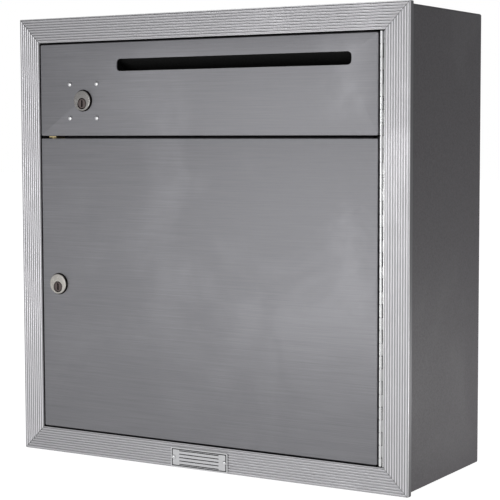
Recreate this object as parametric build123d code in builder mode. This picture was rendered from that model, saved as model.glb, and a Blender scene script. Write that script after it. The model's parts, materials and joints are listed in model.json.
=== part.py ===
"""Surface-mounted parcel drop box: a letter door with a mail slot over a parcel door.

Millimetres. X runs to the right, Y back into the wall and Z up. The origin is the centre of the
four wall-bolt holes, on the back face of the box. "Depth" is counted back from the crests of the
trim's ribs, and "inset" inwards from the trim's outer edge.
"""
import os

from build123d import *

os.makedirs("parts", exist_ok=True)

# ---- Overall size ---------------------------------------------------------------------------
WIDTH = 480.0
HEIGHT = 483.0
DEPTH = 178.0
LEFT, RIGHT = -WIDTH / 2, WIDTH / 2
BOTTOM, TOP = -HEIGHT / 2, HEIGHT / 2
CLEAR = 0.1  # assembly clearance between pieces that are fixed together
SHAFT_CLEAR = 0.05  # radial clearance of a shaft in its bore

# ---- Trim extrusion -------------------------------------------------------------------------
TRIM_WIDTH = 26.6
RIB_COUNT = 9
RIB_PITCH = 2.8
RIB_WIDTH = 2.1
RIB_RISE = 0.6
TRIM_BACK = 2.5  # depth of the face plate's back
LIP = 1.9  # thickness of the outer lip, which covers the wrapper's edge
LIP_DEPTH = 8.0
INNER_LIP = 1.5
INNER_LIP_DEPTH = 6.5
CHANNEL = (10.0, 18.0)  # insets of the T-channel that holds the corner keys
CHANNEL_WALL = 2.0
HOOK = 1.2
HOOK_DEPTH = 4.2
KEY_THICKNESS = 1.6
KEY_LENGTH = 44.0
SCREW_FROM_CORNER = 40.0
TRIM_SCREW = 1.5  # shank radius
TRIM_SCREW_HEAD = (3.0, 2.0)  # radius and height
KEY_SCREW_HOLE = 1.55
TRIM_SCREW_HOLE = 1.7

# ---- Sheet-metal cabinet --------------------------------------------------------------------
SHEET = 1.6
WRAP_INSET = 2.0
WRAP_FRONT = 5.0
WRAP_REACH = 24.9
WRAP_CORNER = 2.4
PAN_FLANGE = 20.0
PAN_RIVET_Y = -PAN_FLANGE / 2
PAN_RIVETS = (-180, -60, 60, 180)
PAN_RIVET_HEAD = (3.0, 1.2)  # radius and height
BOLT_SPACING = (406.4, 381.0)
BOLT_HOLE = 3.5

# ---- Jambs ----------------------------------------------------------------------------------
LEG_START = 10.0
LEG_DEPTH = WRAP_FRONT + SHEET
STOP_DEPTH = 20.4
STOP_REACH = 11.4
STOP_OVERLAP = 5.0  # how far the stop flange's strip runs along the web
EDGE = TRIM_WIDTH  # inset of the door frame's face on the left, top and bottom
HINGE_EDGE = 28.4  # and on the hinge side
JAMB_BEND = 1.6

# ---- Doors ----------------------------------------------------------------------------------
DOOR_SHEET = 2.0
DOOR_FACE = 1.5
DOOR_BACK = 15.5
DOOR_LEFT = LEFT + 27.5
DOOR_RIGHT = RIGHT - 33.6
UPPER_DOOR = (112.4, 212.9)  # bottom and top
LOWER_DOOR = (-213.4, 109.8)
DOOR_CORNER = 1.6
DOOR_BEND = 0.8
DOOR_INSIDE = DOOR_FACE + DOOR_SHEET
STIFFENER_SHEET = 1.2
STIFFENER_SPAN = (-200.0, 100.0)  # bottom and top
STIFFENER_HALF_WIDTHS = (16.0, 20.0, 38.0)  # at its crown, at its foot and at its flange's edge
STIFFENER_CROWN = 13.0  # depth of the crown
STIFFENER_BEND = 1.5

# ---- Mail slot and hood ---------------------------------------------------------------------
SLOT_CENTRE = (34.0, 188.3)
SLOT_SIZE = (284.0, 13.2)
SLOT_CORNER = 4.5
HOOD_SHEET = 1.2
HOOD_MARGIN = 5.0
HOOD_SLOPE_TOP = 197.5
HOOD_SLOPE_END = (42.0, 172.0)  # depth and height
HOOD_BOTTOM = 160.0
HOOD_FLANGE_TOP = 208.9
HOOD_BEND = 1.8
HOOD_CHEEK = (24.0, 178.0)  # depth where a cheek's sloping edge ends, and height where it starts

# ---- Continuous hinge -----------------------------------------------------------------------
HINGE_X = RIGHT - 31.0
HINGE_DEPTH = 2.4
KNUCKLE_PITCH = 12.7
KNUCKLE_GAP = 0.4
KNUCKLE_RADIUS = 2.2
PIN_RADIUS = 1.2
HINGE_TOP = 213.7
HINGE_BOTTOM = -214.1
LEAF = 1.0
LEAF_OFFSET = 1.6  # from the hinge axis to the leaf's near side
LEAF_START = 2.6  # from the hinge axis back to the plate, past the other leaf's knuckles
FRAME_LEAF_BACK = 18.0
DOOR_LEAF_BACK = 14.5
UPPER_KNUCKLES = 8  # knuckle places beside the upper door
LEAF_RIVET_DEPTH = 11.5
FRAME_LEAF_RIVETS = [-195 + 55.7 * step for step in range(8)]
UPPER_LEAF_RIVETS = (125.0, 162.7, 200.4)
LOWER_LEAF_RIVETS = [-200 + 59 * step for step in range(6)]

# ---- Divider shelf --------------------------------------------------------------------------
SHELF_TOP = 111.4
SHELF_FRONT = 18.0
SHELF_FLANGE = 12.0
SHELF_RIVETS = (-150, -50, 50, 150)
SHELF_RIVET_Z = 103.0
SHELF_NOSE_RADIUS = 1.5
SHELF_NOSE_GAP = 10.0  # between the nose and each stop flange, clear of the brass keeper
SHELF_SIDE_GAP = 8.0  # each side flange stops this far short of the jamb and of the back panel

# ---- Locks ----------------------------------------------------------------------------------
UPPER_LOCK = (-153.5, 150.8)
LOWER_LOCK = (-189.7, -51.8)
LOCK_FACE_RADIUS = 11.1
LOCK_FACE_RISE = 3.0
LOCK_EDGE_RADIUS = 0.8
LOCK_BARREL_RADIUS = 9.5
LOCK_HOLE = LOCK_BARREL_RADIUS + CLEAR
PLUG_RADIUS = 5.25
PLUG_DROP = 3.3  # the plug's axis lies below the lock's centre
PLUG_FACE = -1.2
KEYWAY = (1.7, 7.4, 7.0)  # width, height and depth
SQUARE = 6.0
UPPER_BARREL_BACK = 16.8
LOWER_BARREL_BACK = 22.0
CASE_SIZE = 50.0
CASE_BACK = 27.0
CASE_WALL = 1.5
CASE_CORNER = 3.0
COVER = 1.2
POST_OFFSET = 20.5
POST_RADIUS = 2.8
COVER_SCREW = (1.25, 8.0)  # shank radius and length
COVER_SCREW_HEAD = (2.3, 1.4)
POST_BORE = (1.3, 9.0)  # radius and depth
COVER_HOLE = 1.4
LOCK_RIVETS = (36.5, 37.0)  # spacing across and up
LOCK_RIVET_DROP = 0.5
LOCK_RIVET_HEAD = (2.6, 1.3)
DRIVER_RADIUS = 8.5
DRIVER_DEPTHS = (17.2, 20.2)
CRANK_THROW = 4.5  # the drive pin stands this far to the side of the plug's axis and below it
CRANK_PIN = 1.5
BOLT_X = (-187.5, -143.5)
BOLT_Z = (136.0, 147.5)
BOLT_DEPTHS = (21.0, 25.0)
BOLT_SLOT = (4.2, 139.0, 145.2)  # width, bottom and top
BOLT_CLEAR = 0.4
BOLT_NOSE_RADIUS = 1.0
STRIKE_X = (-212.5, -189.5)
STRIKE_Z = (127.75, 155.75)
STRIKE_CORNER = 1.5
STRIKE_RIVET_HEAD = (2.6, 1.0)
BOLT_STRIKE_RIVETS = [(-207.5, 132.5), (-207.5, 151.0)]
NUT_THICKNESS = 4.5
NUT_APOTHEM = 12.5
CAM_DEPTH = 22.4
CAM_THICKNESS = 2.4
CAM_LENGTH = 20.0
CAM_RADIUS = 7.0
CAM_TIP_RADIUS = 2.5
CAM_SCREW = 1.5
CAM_SCREW_LENGTH = 8.0
CAM_SCREW_HEAD = (4.3, 2.2)

# ---- Catch between the doors ----------------------------------------------------------------
CATCH_X = -198.3
CATCH_DEPTH = 8.5
CATCH_BARREL = 4.0
CATCH_RIM = 4.6
CATCH_FLOOR = 97.5
PLUNGER_RADIUS = 1.6
PLUNGER_TOP = 110.6
PLUNGER_NOSE = 0.9
STRIKE_SHEET = 1.2
KEEPER_GAP = 0.3  # between the resting plunger and its keeper
KEEPER_FRONT = 4.0
KEEPER_HALF = 4.8  # half the width of the tongue
KEEPER_LOW = 90.0
KEEPER_FOOT = ((-209.0, CATCH_X), (KEEPER_LOW, 107.0))  # X and Z of the riveted foot
KEEPER_BEND = 1.4
KEEPER_RIVET_HEAD = (2.0, 0.8)
KEEPER_RIVETS = [(-206.0, 95.0), (-206.0, 103.0)]
CATCH_TOP = LOWER_DOOR[1]
CATCH_RISE = 0.5
CATCH_LIP = CATCH_TOP - 0.6
CATCH_BORE = 2.5
CATCH_MOUTH = PLUNGER_RADIUS + 0.1
COLLAR_TOP = CATCH_LIP - 0.4
COLLAR_BOTTOM = COLLAR_TOP - 1.0
COLLAR = 2.3
SPRING_WIRE = 0.3
SPRING_RADIUS = 1.85
SPRING_TURNS = 6

# ---- Rubber bumpers -------------------------------------------------------------------------
BUMPER_X = LEFT + 31.5
BUMPERS = [(BUMPER_X, z) for z in (-190.0, 60.0, 120.0, 172.0)]
BUMPER_RADIUS = 4.0
BUMPER_EDGE = 1.5
BUMPER_STEM = 1.5
BUMPER_BARB = (2.4, 1.2, 4.0)  # radius at the jamb, radius at the tip, and length
BUMPER_GAP = 0.3

# ---- Nameplate ------------------------------------------------------------------------------
PLATE_CENTRE = (-3.6, -230.3)
PLATE_SIZE = (71.7, 21.6)
PLATE_CORNER = 0.8
PLATE_SHEET = 0.8
PLATE_RIVETS = [(PLATE_CENTRE[0] + side * 31.95, PLATE_CENTRE[1]) for side in (-1, 1)]
PLATE_RIVET_HEAD = (2.3, 1.0)

# ---- Fasteners ------------------------------------------------------------------------------
RIVET = 1.6  # shank radius
SMALL_RIVET = 1.2
TAIL_RISE = 1.0
SINK_RADIUS = 2.4  # countersunk heads
SINK = 0.8


def depth(distance):
    """Y of a point this far behind the trim's crests."""
    return distance - DEPTH


def front_plane(distance):
    """Plane facing the viewer at a depth, with X to the right and Z up."""
    return Plane.XZ.offset(DEPTH - distance)


def save(piece, name):
    """Label a finished piece and write its STEP file."""
    piece.label = name
    export_step(piece, f"parts/{name}.step")


def cut_holes(distance, centres, radius, length):
    """Cut round holes forward from a depth through the piece being built."""
    with BuildSketch(front_plane(distance)) as holes:
        with Locations(*centres):
            Circle(radius)
    extrude(holes.sketch, amount=length, mode=Mode.SUBTRACT)


def cut_side_holes(x, centres, radius, length):
    """Cut round holes along X, centred on a plane across X; centres are (y, z)."""
    with BuildSketch(Plane.YZ.offset(x)) as holes:
        with Locations(*centres):
            Circle(radius)
    extrude(holes.sketch, amount=length / 2, both=True, mode=Mode.SUBTRACT)


def domed_rivet(shank, grip, head, rise):
    """Rivet along Z: a domed head above z = 0, and a flat tail below what it grips."""
    tail = 1.6 * shank
    with BuildPart() as rivet:
        with BuildSketch(Plane.XZ):
            with BuildLine():
                TangentArc((0, rise), (head, 0), tangent=(1, 0))
                Polyline((head, 0), (shank, 0), (shank, -grip), (tail, -grip),
                         (tail, -grip - TAIL_RISE), (0, -grip - TAIL_RISE), (0, rise))
            make_face()
        revolve(axis=Axis.Z)
    return rivet.part


def flush_rivet(shank, grip, head, sink):
    """Countersunk rivet along Z, flush with z = 0, with a flat tail below what it grips."""
    tail = 1.6 * shank
    with BuildPart() as rivet:
        with BuildSketch(Plane.XZ):
            with BuildLine():
                Polyline((0, 0), (head, 0), (shank, -sink), (shank, -grip), (tail, -grip),
                         (tail, -grip - TAIL_RISE), (0, -grip - TAIL_RISE), (0, 0))
            make_face()
        revolve(axis=Axis.Z)
    return rivet.part


def pan_screw(shank, length, head, rise):
    """Pan-head screw along Z with a cross recess; its shank runs down from z = 0."""
    with BuildPart() as screw:
        Cylinder(head, rise, align=(Align.CENTER, Align.CENTER, Align.MIN))
        fillet(screw.edges().filter_by(GeomType.CIRCLE).sort_by(Axis.Z)[-1], 0.4 * rise)
        with BuildSketch(Plane.XY.offset(rise)):
            Rectangle(1.2 * head, 0.22 * head)
            Rectangle(0.22 * head, 1.2 * head)
        extrude(amount=-0.5 * rise, mode=Mode.SUBTRACT)
        with BuildSketch(Plane.XY):
            Circle(shank)
        extrude(amount=-length)
    return screw.part


def save_copies(piece, name, planes):
    """Set one fastener on each plane and write them all as one node."""
    with BuildPart() as group:
        with Locations(*planes):
            add(piece)
    save(group.part, name)


def facing_front(points, distance):
    """Planes at a depth whose normals point out of the front."""
    return [Plane(origin=(x, depth(distance), z), x_dir=(1, 0, 0), z_dir=(0, -1, 0)) for x, z in points]


def facing_back(points, distance):
    """Planes at a depth whose normals point back to the wall."""
    return [Plane(origin=(x, depth(distance), z), x_dir=(1, 0, 0), z_dir=(0, 1, 0)) for x, z in points]


def corners(x_half, z_half):
    """The four points of a rectangle about the origin."""
    return [(x, z) for x in (-x_half, x_half) for z in (-z_half, z_half)]


# ---- Trim frame: four ribbed bars, mitred at the corners ---------------------------------------
def trim_bar(length):
    """Trim bar along Z, mitred at both ends; X runs inwards from its outer edge and Y back."""
    near, far = CHANNEL
    margin = (TRIM_WIDTH - RIB_COUNT * RIB_PITCH) / 2 + (RIB_PITCH - RIB_WIDTH) / 2
    with BuildPart() as bar:
        with BuildSketch(Plane.XY):
            with BuildLine():
                Line((0, LIP_DEPTH), (0, RIB_RISE))
                place = (0, RIB_RISE)
                for rib in range(RIB_COUNT):
                    start = margin + rib * RIB_PITCH
                    Line(place, (start, RIB_RISE))
                    place = (start + RIB_WIDTH, RIB_RISE)
                    ThreePointArc((start, RIB_RISE), (start + RIB_WIDTH / 2, 0), place)
                Polyline(place, (TRIM_WIDTH, RIB_RISE), (TRIM_WIDTH, INNER_LIP_DEPTH),
                         (TRIM_WIDTH - INNER_LIP, INNER_LIP_DEPTH), (TRIM_WIDTH - INNER_LIP, TRIM_BACK),
                         (far + CHANNEL_WALL, TRIM_BACK), (far + CHANNEL_WALL, WRAP_FRONT),
                         (far - HOOK, WRAP_FRONT), (far - HOOK, HOOK_DEPTH), (far, HOOK_DEPTH),
                         (far, TRIM_BACK), (near, TRIM_BACK), (near, HOOK_DEPTH),
                         (near + HOOK, HOOK_DEPTH), (near + HOOK, WRAP_FRONT),
                         (near - CHANNEL_WALL, WRAP_FRONT), (near - CHANNEL_WALL, TRIM_BACK),
                         (LIP, TRIM_BACK), (LIP, LIP_DEPTH - LIP), (0, LIP_DEPTH))
            make_face()
        extrude(amount=length / 2, both=True)
        for end in (-1, 1):
            mitre = Plane(origin=(0, 0, end * (length / 2 - CLEAR)), z_dir=(1, 0, end))
            split(bisect_by=mitre, keep=Keep.BOTTOM)
    return bar.part


TRIM_BARS = {
    "trim_left": (HEIGHT, Plane(origin=(LEFT, depth(0), 0), x_dir=(1, 0, 0), z_dir=(0, 0, 1))),
    "trim_right": (HEIGHT, Plane(origin=(RIGHT, depth(0), 0), x_dir=(-1, 0, 0), z_dir=(0, 0, -1))),
    "trim_top": (WIDTH, Plane(origin=(0, depth(0), TOP), x_dir=(0, 0, -1), z_dir=(1, 0, 0))),
    "trim_bottom": (WIDTH, Plane(origin=(0, depth(0), BOTTOM), x_dir=(0, 0, 1), z_dir=(-1, 0, 0))),
}

for bar_name, (bar_length, bar_plane) in TRIM_BARS.items():
    with BuildPart() as trim:
        with Locations(bar_plane):
            add(trim_bar(bar_length))
        if bar_name == "trim_bottom":
            cut_holes(TRIM_BACK + CLEAR, PLATE_RIVETS, SMALL_RIVET + CLEAR / 2, TRIM_BACK + 2 * CLEAR)
    save(trim.part, bar_name)

# Keys slide in the channels behind each mitre, and the trim screws bite in them.
KEY_LINE = sum(CHANNEL) / 2
KEY_WIDTH = CHANNEL[1] - CHANNEL[0] - 2 * CLEAR
KEY_BACK = TRIM_BACK + CLEAR / 2 + KEY_THICKNESS
key_start = CHANNEL[0] + CLEAR + KEY_LENGTH / 2
screw_points = corners(WIDTH / 2 - SCREW_FROM_CORNER, HEIGHT / 2 - KEY_LINE)
screw_points += corners(WIDTH / 2 - KEY_LINE, HEIGHT / 2 - SCREW_FROM_CORNER)

with BuildPart() as corner_keys:
    with BuildSketch(front_plane(KEY_BACK)):
        with Locations(*corners(WIDTH / 2 - key_start, HEIGHT / 2 - KEY_LINE)):
            Rectangle(KEY_LENGTH, KEY_WIDTH)
        with Locations(*corners(WIDTH / 2 - KEY_LINE, HEIGHT / 2 - key_start)):
            Rectangle(KEY_WIDTH, KEY_LENGTH)
    extrude(amount=KEY_THICKNESS)
    cut_holes(KEY_BACK, screw_points, KEY_SCREW_HOLE, KEY_THICKNESS)
save(corner_keys.part, "corner_keys")

# ---- Wrapper and back panel ------------------------------------------------------------------
wrap_width = WIDTH - 2 * WRAP_INSET
wrap_height = HEIGHT - 2 * WRAP_INSET

with BuildPart() as wrapper:
    with BuildSketch(Plane.XZ):
        RectangleRounded(wrap_width, wrap_height, WRAP_CORNER)
    extrude(amount=DEPTH - WRAP_FRONT)
    with BuildSketch(Plane.XZ):
        RectangleRounded(wrap_width - 2 * SHEET, wrap_height - 2 * SHEET, WRAP_CORNER - SHEET)
    extrude(amount=DEPTH - WRAP_FRONT - SHEET, mode=Mode.SUBTRACT)
    with BuildSketch(front_plane(WRAP_FRONT + 2 * SHEET)):
        Rectangle(WIDTH - 2 * WRAP_REACH, HEIGHT - 2 * WRAP_REACH)
    extrude(amount=3 * SHEET, mode=Mode.SUBTRACT)
    cut_holes(WRAP_FRONT + 2 * SHEET, screw_points, TRIM_SCREW_HOLE, 3 * SHEET)
    with Locations(*[(x, PAN_RIVET_Y, 0) for x in PAN_RIVETS]):
        Cylinder(RIVET + SHAFT_CLEAR, 2 * HEIGHT, mode=Mode.SUBTRACT)
save(wrapper.part, "wrapper")

pan_width = wrap_width - 2 * SHEET - 2 * CLEAR
pan_height = wrap_height - 2 * SHEET - 2 * CLEAR
shelf_rivet_points = [(x, SHELF_RIVET_Z) for x in SHELF_RIVETS]

with BuildPart() as back_panel:
    with BuildSketch(Plane.XZ):
        RectangleRounded(pan_width, pan_height, WRAP_CORNER)
    extrude(amount=PAN_FLANGE)
    with BuildSketch(Plane.XZ.offset(SHEET)):
        RectangleRounded(pan_width - 2 * SHEET, pan_height - 2 * SHEET, WRAP_CORNER - SHEET)
    extrude(amount=PAN_FLANGE, mode=Mode.SUBTRACT)
    with BuildSketch(Plane.XZ):
        with GridLocations(*BOLT_SPACING, 2, 2):
            Circle(BOLT_HOLE)
    extrude(amount=SHEET, mode=Mode.SUBTRACT)
    with Locations(*facing_back(shelf_rivet_points, DEPTH)):
        CounterSinkHole(RIVET + SHAFT_CLEAR, SINK_RADIUS + SHAFT_CLEAR, depth=SHEET)
    with Locations(*[(x, PAN_RIVET_Y, 0) for x in PAN_RIVETS]):
        Cylinder(RIVET + SHAFT_CLEAR, 2 * HEIGHT, mode=Mode.SUBTRACT)
save(back_panel.part, "back_panel")

wrap_top = wrap_height / 2
rivet_planes = [
    Plane(origin=(x, PAN_RIVET_Y, side * wrap_top), x_dir=(1, 0, 0), z_dir=(0, 0, side))
    for x in PAN_RIVETS for side in (-1, 1)
]
save_copies(domed_rivet(RIVET, 2 * SHEET + CLEAR, *PAN_RIVET_HEAD), "back_rivets", rivet_planes)

# ---- Jambs -----------------------------------------------------------------------------------
def jamb_strip(points, plane, half_length):
    """Fold one strip of sheet along a path of points and run it both ways from a plane."""
    with BuildSketch(plane) as section:
        with BuildLine():
            FilletPolyline(*points, radius=JAMB_BEND)
        trace(line_width=SHEET)
    extrude(section.sketch, amount=half_length, both=True)


def jamb(plane, place, edge, half_length, half_stop):
    """Jamb of Z section: a front leg and web at full length, and a shorter stop flange."""
    web = edge - SHEET / 2
    leg = LEG_DEPTH + SHEET / 2
    stop = STOP_DEPTH + SHEET / 2
    jamb_strip([place(LEG_START, leg), place(web, leg), place(web, stop)], plane, half_length)
    corner_start = stop - STOP_OVERLAP
    jamb_strip([place(web, corner_start), place(web, stop), place(edge + STOP_REACH, stop)],
               plane, half_stop)


side_length = HEIGHT / 2 - LEG_START - CLEAR
side_stop = HEIGHT / 2 - EDGE - CLEAR


def cut_trim_screw_holes():
    """Cut clearance for the trim screws through the front leg of a jamb."""
    cut_holes(LEG_DEPTH + 2 * SHEET, screw_points, TRIM_SCREW_HOLE, 3 * SHEET)


with BuildPart() as jamb_left:
    jamb(Plane.XY, lambda inset, d: (LEFT + inset, depth(d)), EDGE, side_length, side_stop)
    cut_trim_screw_holes()
    behind_stop = STOP_DEPTH + 2 * SHEET
    cut_holes(behind_stop, BOLT_STRIKE_RIVETS, RIVET + SHAFT_CLEAR, 3 * SHEET)
    cut_holes(behind_stop, KEEPER_RIVETS, SMALL_RIVET + SHAFT_CLEAR, 3 * SHEET)
    cut_holes(behind_stop, BUMPERS, BUMPER_STEM + SHAFT_CLEAR, 3 * SHEET)
save(jamb_left.part, "jamb_left")

with BuildPart() as jamb_right:
    jamb(Plane.XY, lambda inset, d: (RIGHT - inset, depth(d)), HINGE_EDGE, side_length, side_stop)
    cut_trim_screw_holes()
    leaf_holes = [(depth(LEAF_RIVET_DEPTH), z) for z in FRAME_LEAF_RIVETS]
    cut_side_holes(RIGHT - HINGE_EDGE, leaf_holes, RIVET + SHAFT_CLEAR, 4 * SHEET)
save(jamb_right.part, "jamb_right")

cross_middle = (LEFT + EDGE + RIGHT - HINGE_EDGE) / 2
cross_length = (WIDTH - EDGE - HINGE_EDGE) / 2 - CLEAR
cross_stop = cross_length - STOP_REACH - CLEAR
for jamb_name, side in (("jamb_top", 1), ("jamb_bottom", -1)):
    with BuildPart() as cross_jamb:
        jamb(Plane.YZ.offset(cross_middle), lambda inset, d: (depth(d), side * (TOP - inset)),
             EDGE, cross_length, cross_stop)
        cut_trim_screw_holes()
    save(cross_jamb.part, jamb_name)

trim_screw = pan_screw(TRIM_SCREW, LEG_DEPTH + SHEET - TRIM_BACK - 2 * CLEAR, *TRIM_SCREW_HEAD)
save_copies(trim_screw, "trim_screws", facing_back(screw_points, LEG_DEPTH + SHEET))

# ---- Divider shelf ---------------------------------------------------------------------------
def add_box(x_range, depths, z_range, mode=Mode.ADD):
    """Add or cut a box between two values of X, of depth and of Z."""
    size = (x_range[1] - x_range[0], depths[1] - depths[0], z_range[1] - z_range[0])
    middle = (sum(x_range) / 2, depth(sum(depths) / 2), sum(z_range) / 2)
    with Locations(middle):
        Box(*size, mode=mode)


shelf_half = wrap_width / 2 - SHEET - 2 * CLEAR
nose_half = WIDTH / 2 - EDGE - STOP_REACH - SHELF_NOSE_GAP
shelf_low = SHELF_TOP - SHEET
flange_low = shelf_low - SHELF_FLANGE
shelf_back = DEPTH - SHEET
shelf_notch = DEPTH - PAN_FLANGE - 1.0
behind_jamb = STOP_DEPTH + SHEET + 3 * CLEAR

with BuildPart() as divider_shelf:
    add_box((-shelf_half, shelf_half), (behind_jamb, shelf_notch), (shelf_low, SHELF_TOP))
    inner_half = shelf_half - SHEET - CLEAR
    add_box((-inner_half, inner_half), (shelf_notch - 1, shelf_back), (shelf_low, SHELF_TOP))
    add_box((-nose_half, nose_half), (SHELF_FRONT, behind_jamb + 1), (shelf_low, SHELF_TOP))
    add_box((-nose_half, nose_half), (SHELF_FRONT, SHELF_FRONT + SHEET), (flange_low, SHELF_TOP))
    add_box((-inner_half, inner_half), (shelf_back - SHEET, shelf_back), (flange_low, SHELF_TOP))
    for side in (-1, 1):
        across = sorted((side * (shelf_half - SHEET), side * shelf_half))
        run = (behind_jamb + SHELF_SIDE_GAP, shelf_notch - SHELF_SIDE_GAP)
        add_box(across, run, (flange_low, SHELF_TOP))
    nose_edge = divider_shelf.edges().filter_by(Axis.X).group_by(Axis.Y)[0].sort_by(Axis.Z)[-1]
    fillet(nose_edge, SHELF_NOSE_RADIUS)
    cut_holes(DEPTH, shelf_rivet_points, RIVET + SHAFT_CLEAR, 3 * SHEET)
save(divider_shelf.part, "divider_shelf")
shelf_rivet = flush_rivet(RIVET, 2 * SHEET, SINK_RADIUS, SINK)
save_copies(shelf_rivet, "shelf_rivets", facing_back(shelf_rivet_points, DEPTH))

# ---- Continuous hinge ------------------------------------------------------------------------
knuckle_tops = []
knuckle_top = HINGE_TOP
while knuckle_top > HINGE_BOTTOM + KNUCKLE_GAP:
    knuckle_tops.append(knuckle_top)
    knuckle_top -= KNUCKLE_PITCH


def knuckle_span(top):
    """Bottom and top of the knuckle whose place starts at a height."""
    low = max(top - KNUCKLE_PITCH, HINGE_BOTTOM)
    return low + KNUCKLE_GAP / 2, top - KNUCKLE_GAP / 2


def hinge_leaf(side, tops, z_range, back):
    """Leaf on one side of the hinge axis, with a rolled knuckle at each of its places."""
    near, far = sorted((HINGE_X + side * LEAF_OFFSET, HINGE_X + side * (LEAF_OFFSET + LEAF)))
    add_box((near, far), (HINGE_DEPTH + LEAF_START, back), z_range)
    for top in tops:
        low, high = knuckle_span(top)
        add_box((near, far), (HINGE_DEPTH, HINGE_DEPTH + LEAF_START + LEAF), (low, high))
        with Locations((HINGE_X, depth(HINGE_DEPTH), (low + high) / 2)):
            Cylinder(KNUCKLE_RADIUS, high - low)
    with Locations((HINGE_X, depth(HINGE_DEPTH), 0)):
        Cylinder(PIN_RADIUS + SHAFT_CLEAR, HEIGHT, mode=Mode.SUBTRACT)


def sink_leaf_holes(x, normal, heights):
    """Countersink the rivet holes of a leaf from its side facing the other leaf."""
    y = depth(LEAF_RIVET_DEPTH)
    planes = [Plane(origin=(x, y, z), x_dir=(0, 1, 0), z_dir=(normal, 0, 0)) for z in heights]
    with Locations(*planes):
        CounterSinkHole(RIVET + SHAFT_CLEAR, SINK_RADIUS + SHAFT_CLEAR, depth=LEAF)
    return planes


FRAME_LEAF_FACE = HINGE_X + LEAF_OFFSET
DOOR_LEAF_FACE = HINGE_X - LEAF_OFFSET
with BuildPart() as hinge_frame_leaf:
    hinge_leaf(1, knuckle_tops[0::2], (HINGE_BOTTOM, HINGE_TOP), FRAME_LEAF_BACK)
    frame_rivet_planes = sink_leaf_holes(FRAME_LEAF_FACE, -1, FRAME_LEAF_RIVETS)
save(hinge_frame_leaf.part, "hinge_frame_leaf")

with BuildPart() as hinge_pin:
    with Locations((HINGE_X, depth(HINGE_DEPTH), (HINGE_TOP + HINGE_BOTTOM) / 2)):
        Cylinder(PIN_RADIUS, HINGE_TOP - HINGE_BOTTOM)
    chamfer(hinge_pin.edges().filter_by(GeomType.CIRCLE), 0.3)
save(hinge_pin.part, "hinge_pin")
leaf_rivet = flush_rivet(RIVET, LEAF + SHEET, SINK_RADIUS, SINK)
save_copies(leaf_rivet, "frame_leaf_rivets", frame_rivet_planes)

leaf_split = knuckle_tops[UPPER_KNUCKLES]
upper_leaf_span = (leaf_split + KNUCKLE_GAP / 2, HINGE_TOP - KNUCKLE_GAP / 2)
lower_leaf_span = (HINGE_BOTTOM + KNUCKLE_GAP / 2, leaf_split - KNUCKLE_GAP / 2)

with BuildPart() as upper_door_leaf:
    hinge_leaf(-1, knuckle_tops[1:UPPER_KNUCKLES:2], upper_leaf_span, DOOR_LEAF_BACK)
    upper_rivet_planes = sink_leaf_holes(DOOR_LEAF_FACE, 1, UPPER_LEAF_RIVETS)
save(upper_door_leaf.part, "upper_door_leaf")

with BuildPart() as lower_door_leaf:
    hinge_leaf(-1, knuckle_tops[UPPER_KNUCKLES + 1::2], lower_leaf_span, DOOR_LEAF_BACK)
    lower_rivet_planes = sink_leaf_holes(DOOR_LEAF_FACE, 1, LOWER_LEAF_RIVETS)
save(lower_door_leaf.part, "lower_door_leaf")

door_leaf_rivet = flush_rivet(RIVET, LEAF + DOOR_SHEET, SINK_RADIUS, SINK)
save_copies(door_leaf_rivet, "upper_leaf_rivets", upper_rivet_planes)
save_copies(door_leaf_rivet, "lower_leaf_rivets", lower_rivet_planes)

# ---- Doors -----------------------------------------------------------------------------------
def door_pan(z_range):
    """Folded door pan with softened front edges, open at the back."""
    width = DOOR_RIGHT - DOOR_LEFT
    height = z_range[1] - z_range[0]
    centre = ((DOOR_LEFT + DOOR_RIGHT) / 2, sum(z_range) / 2)
    with BuildPart() as pan:
        with BuildSketch(front_plane(DOOR_BACK)):
            with Locations(centre):
                RectangleRounded(width, height, DOOR_CORNER)
        extrude(amount=DOOR_BACK - DOOR_FACE)
        fillet(pan.faces().sort_by(Axis.Y)[0].edges(), DOOR_BEND)
        with BuildSketch(front_plane(DOOR_BACK)):
            with Locations(centre):
                Rectangle(width - 2 * DOOR_SHEET, height - 2 * DOOR_SHEET)
        extrude(amount=DOOR_BACK - DOOR_INSIDE, mode=Mode.SUBTRACT)
    return pan.part


lock_rivet_points = [(UPPER_LOCK[0] + x, UPPER_LOCK[1] - LOCK_RIVET_DROP + z)
                     for x, z in corners(LOCK_RIVETS[0] / 2, LOCK_RIVETS[1] / 2)]

with BuildPart() as upper_door_panel:
    add(door_pan(UPPER_DOOR))
    with BuildSketch(front_plane(DOOR_INSIDE + 1)):
        with Locations(SLOT_CENTRE):
            RectangleRounded(*SLOT_SIZE, SLOT_CORNER)
    extrude(amount=DOOR_SHEET + 2, mode=Mode.SUBTRACT)
    cut_holes(DOOR_INSIDE + 1, [UPPER_LOCK], LOCK_HOLE, DOOR_SHEET + 2)
    cut_holes(DOOR_INSIDE + 1, lock_rivet_points, RIVET + SHAFT_CLEAR, DOOR_SHEET + 2)
    upper_holes = [(depth(LEAF_RIVET_DEPTH), z) for z in UPPER_LEAF_RIVETS]
    cut_side_holes(DOOR_RIGHT, upper_holes, RIVET + SHAFT_CLEAR, 3 * DOOR_SHEET)
save(upper_door_panel.part, "upper_door_panel")

with BuildPart() as lower_door_panel:
    add(door_pan(LOWER_DOOR))
    cut_holes(DOOR_INSIDE + 1, [LOWER_LOCK], LOCK_HOLE, DOOR_SHEET + 2)
    lower_holes = [(depth(LEAF_RIVET_DEPTH), z) for z in LOWER_LEAF_RIVETS]
    cut_side_holes(DOOR_RIGHT, lower_holes, RIVET + SHAFT_CLEAR, 3 * DOOR_SHEET)
    with Locations((CATCH_X, depth(CATCH_DEPTH), LOWER_DOOR[1])):
        Cylinder(CATCH_BARREL + SHAFT_CLEAR, 3 * DOOR_SHEET, mode=Mode.SUBTRACT)
save(lower_door_panel.part, "lower_door_panel")

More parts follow.
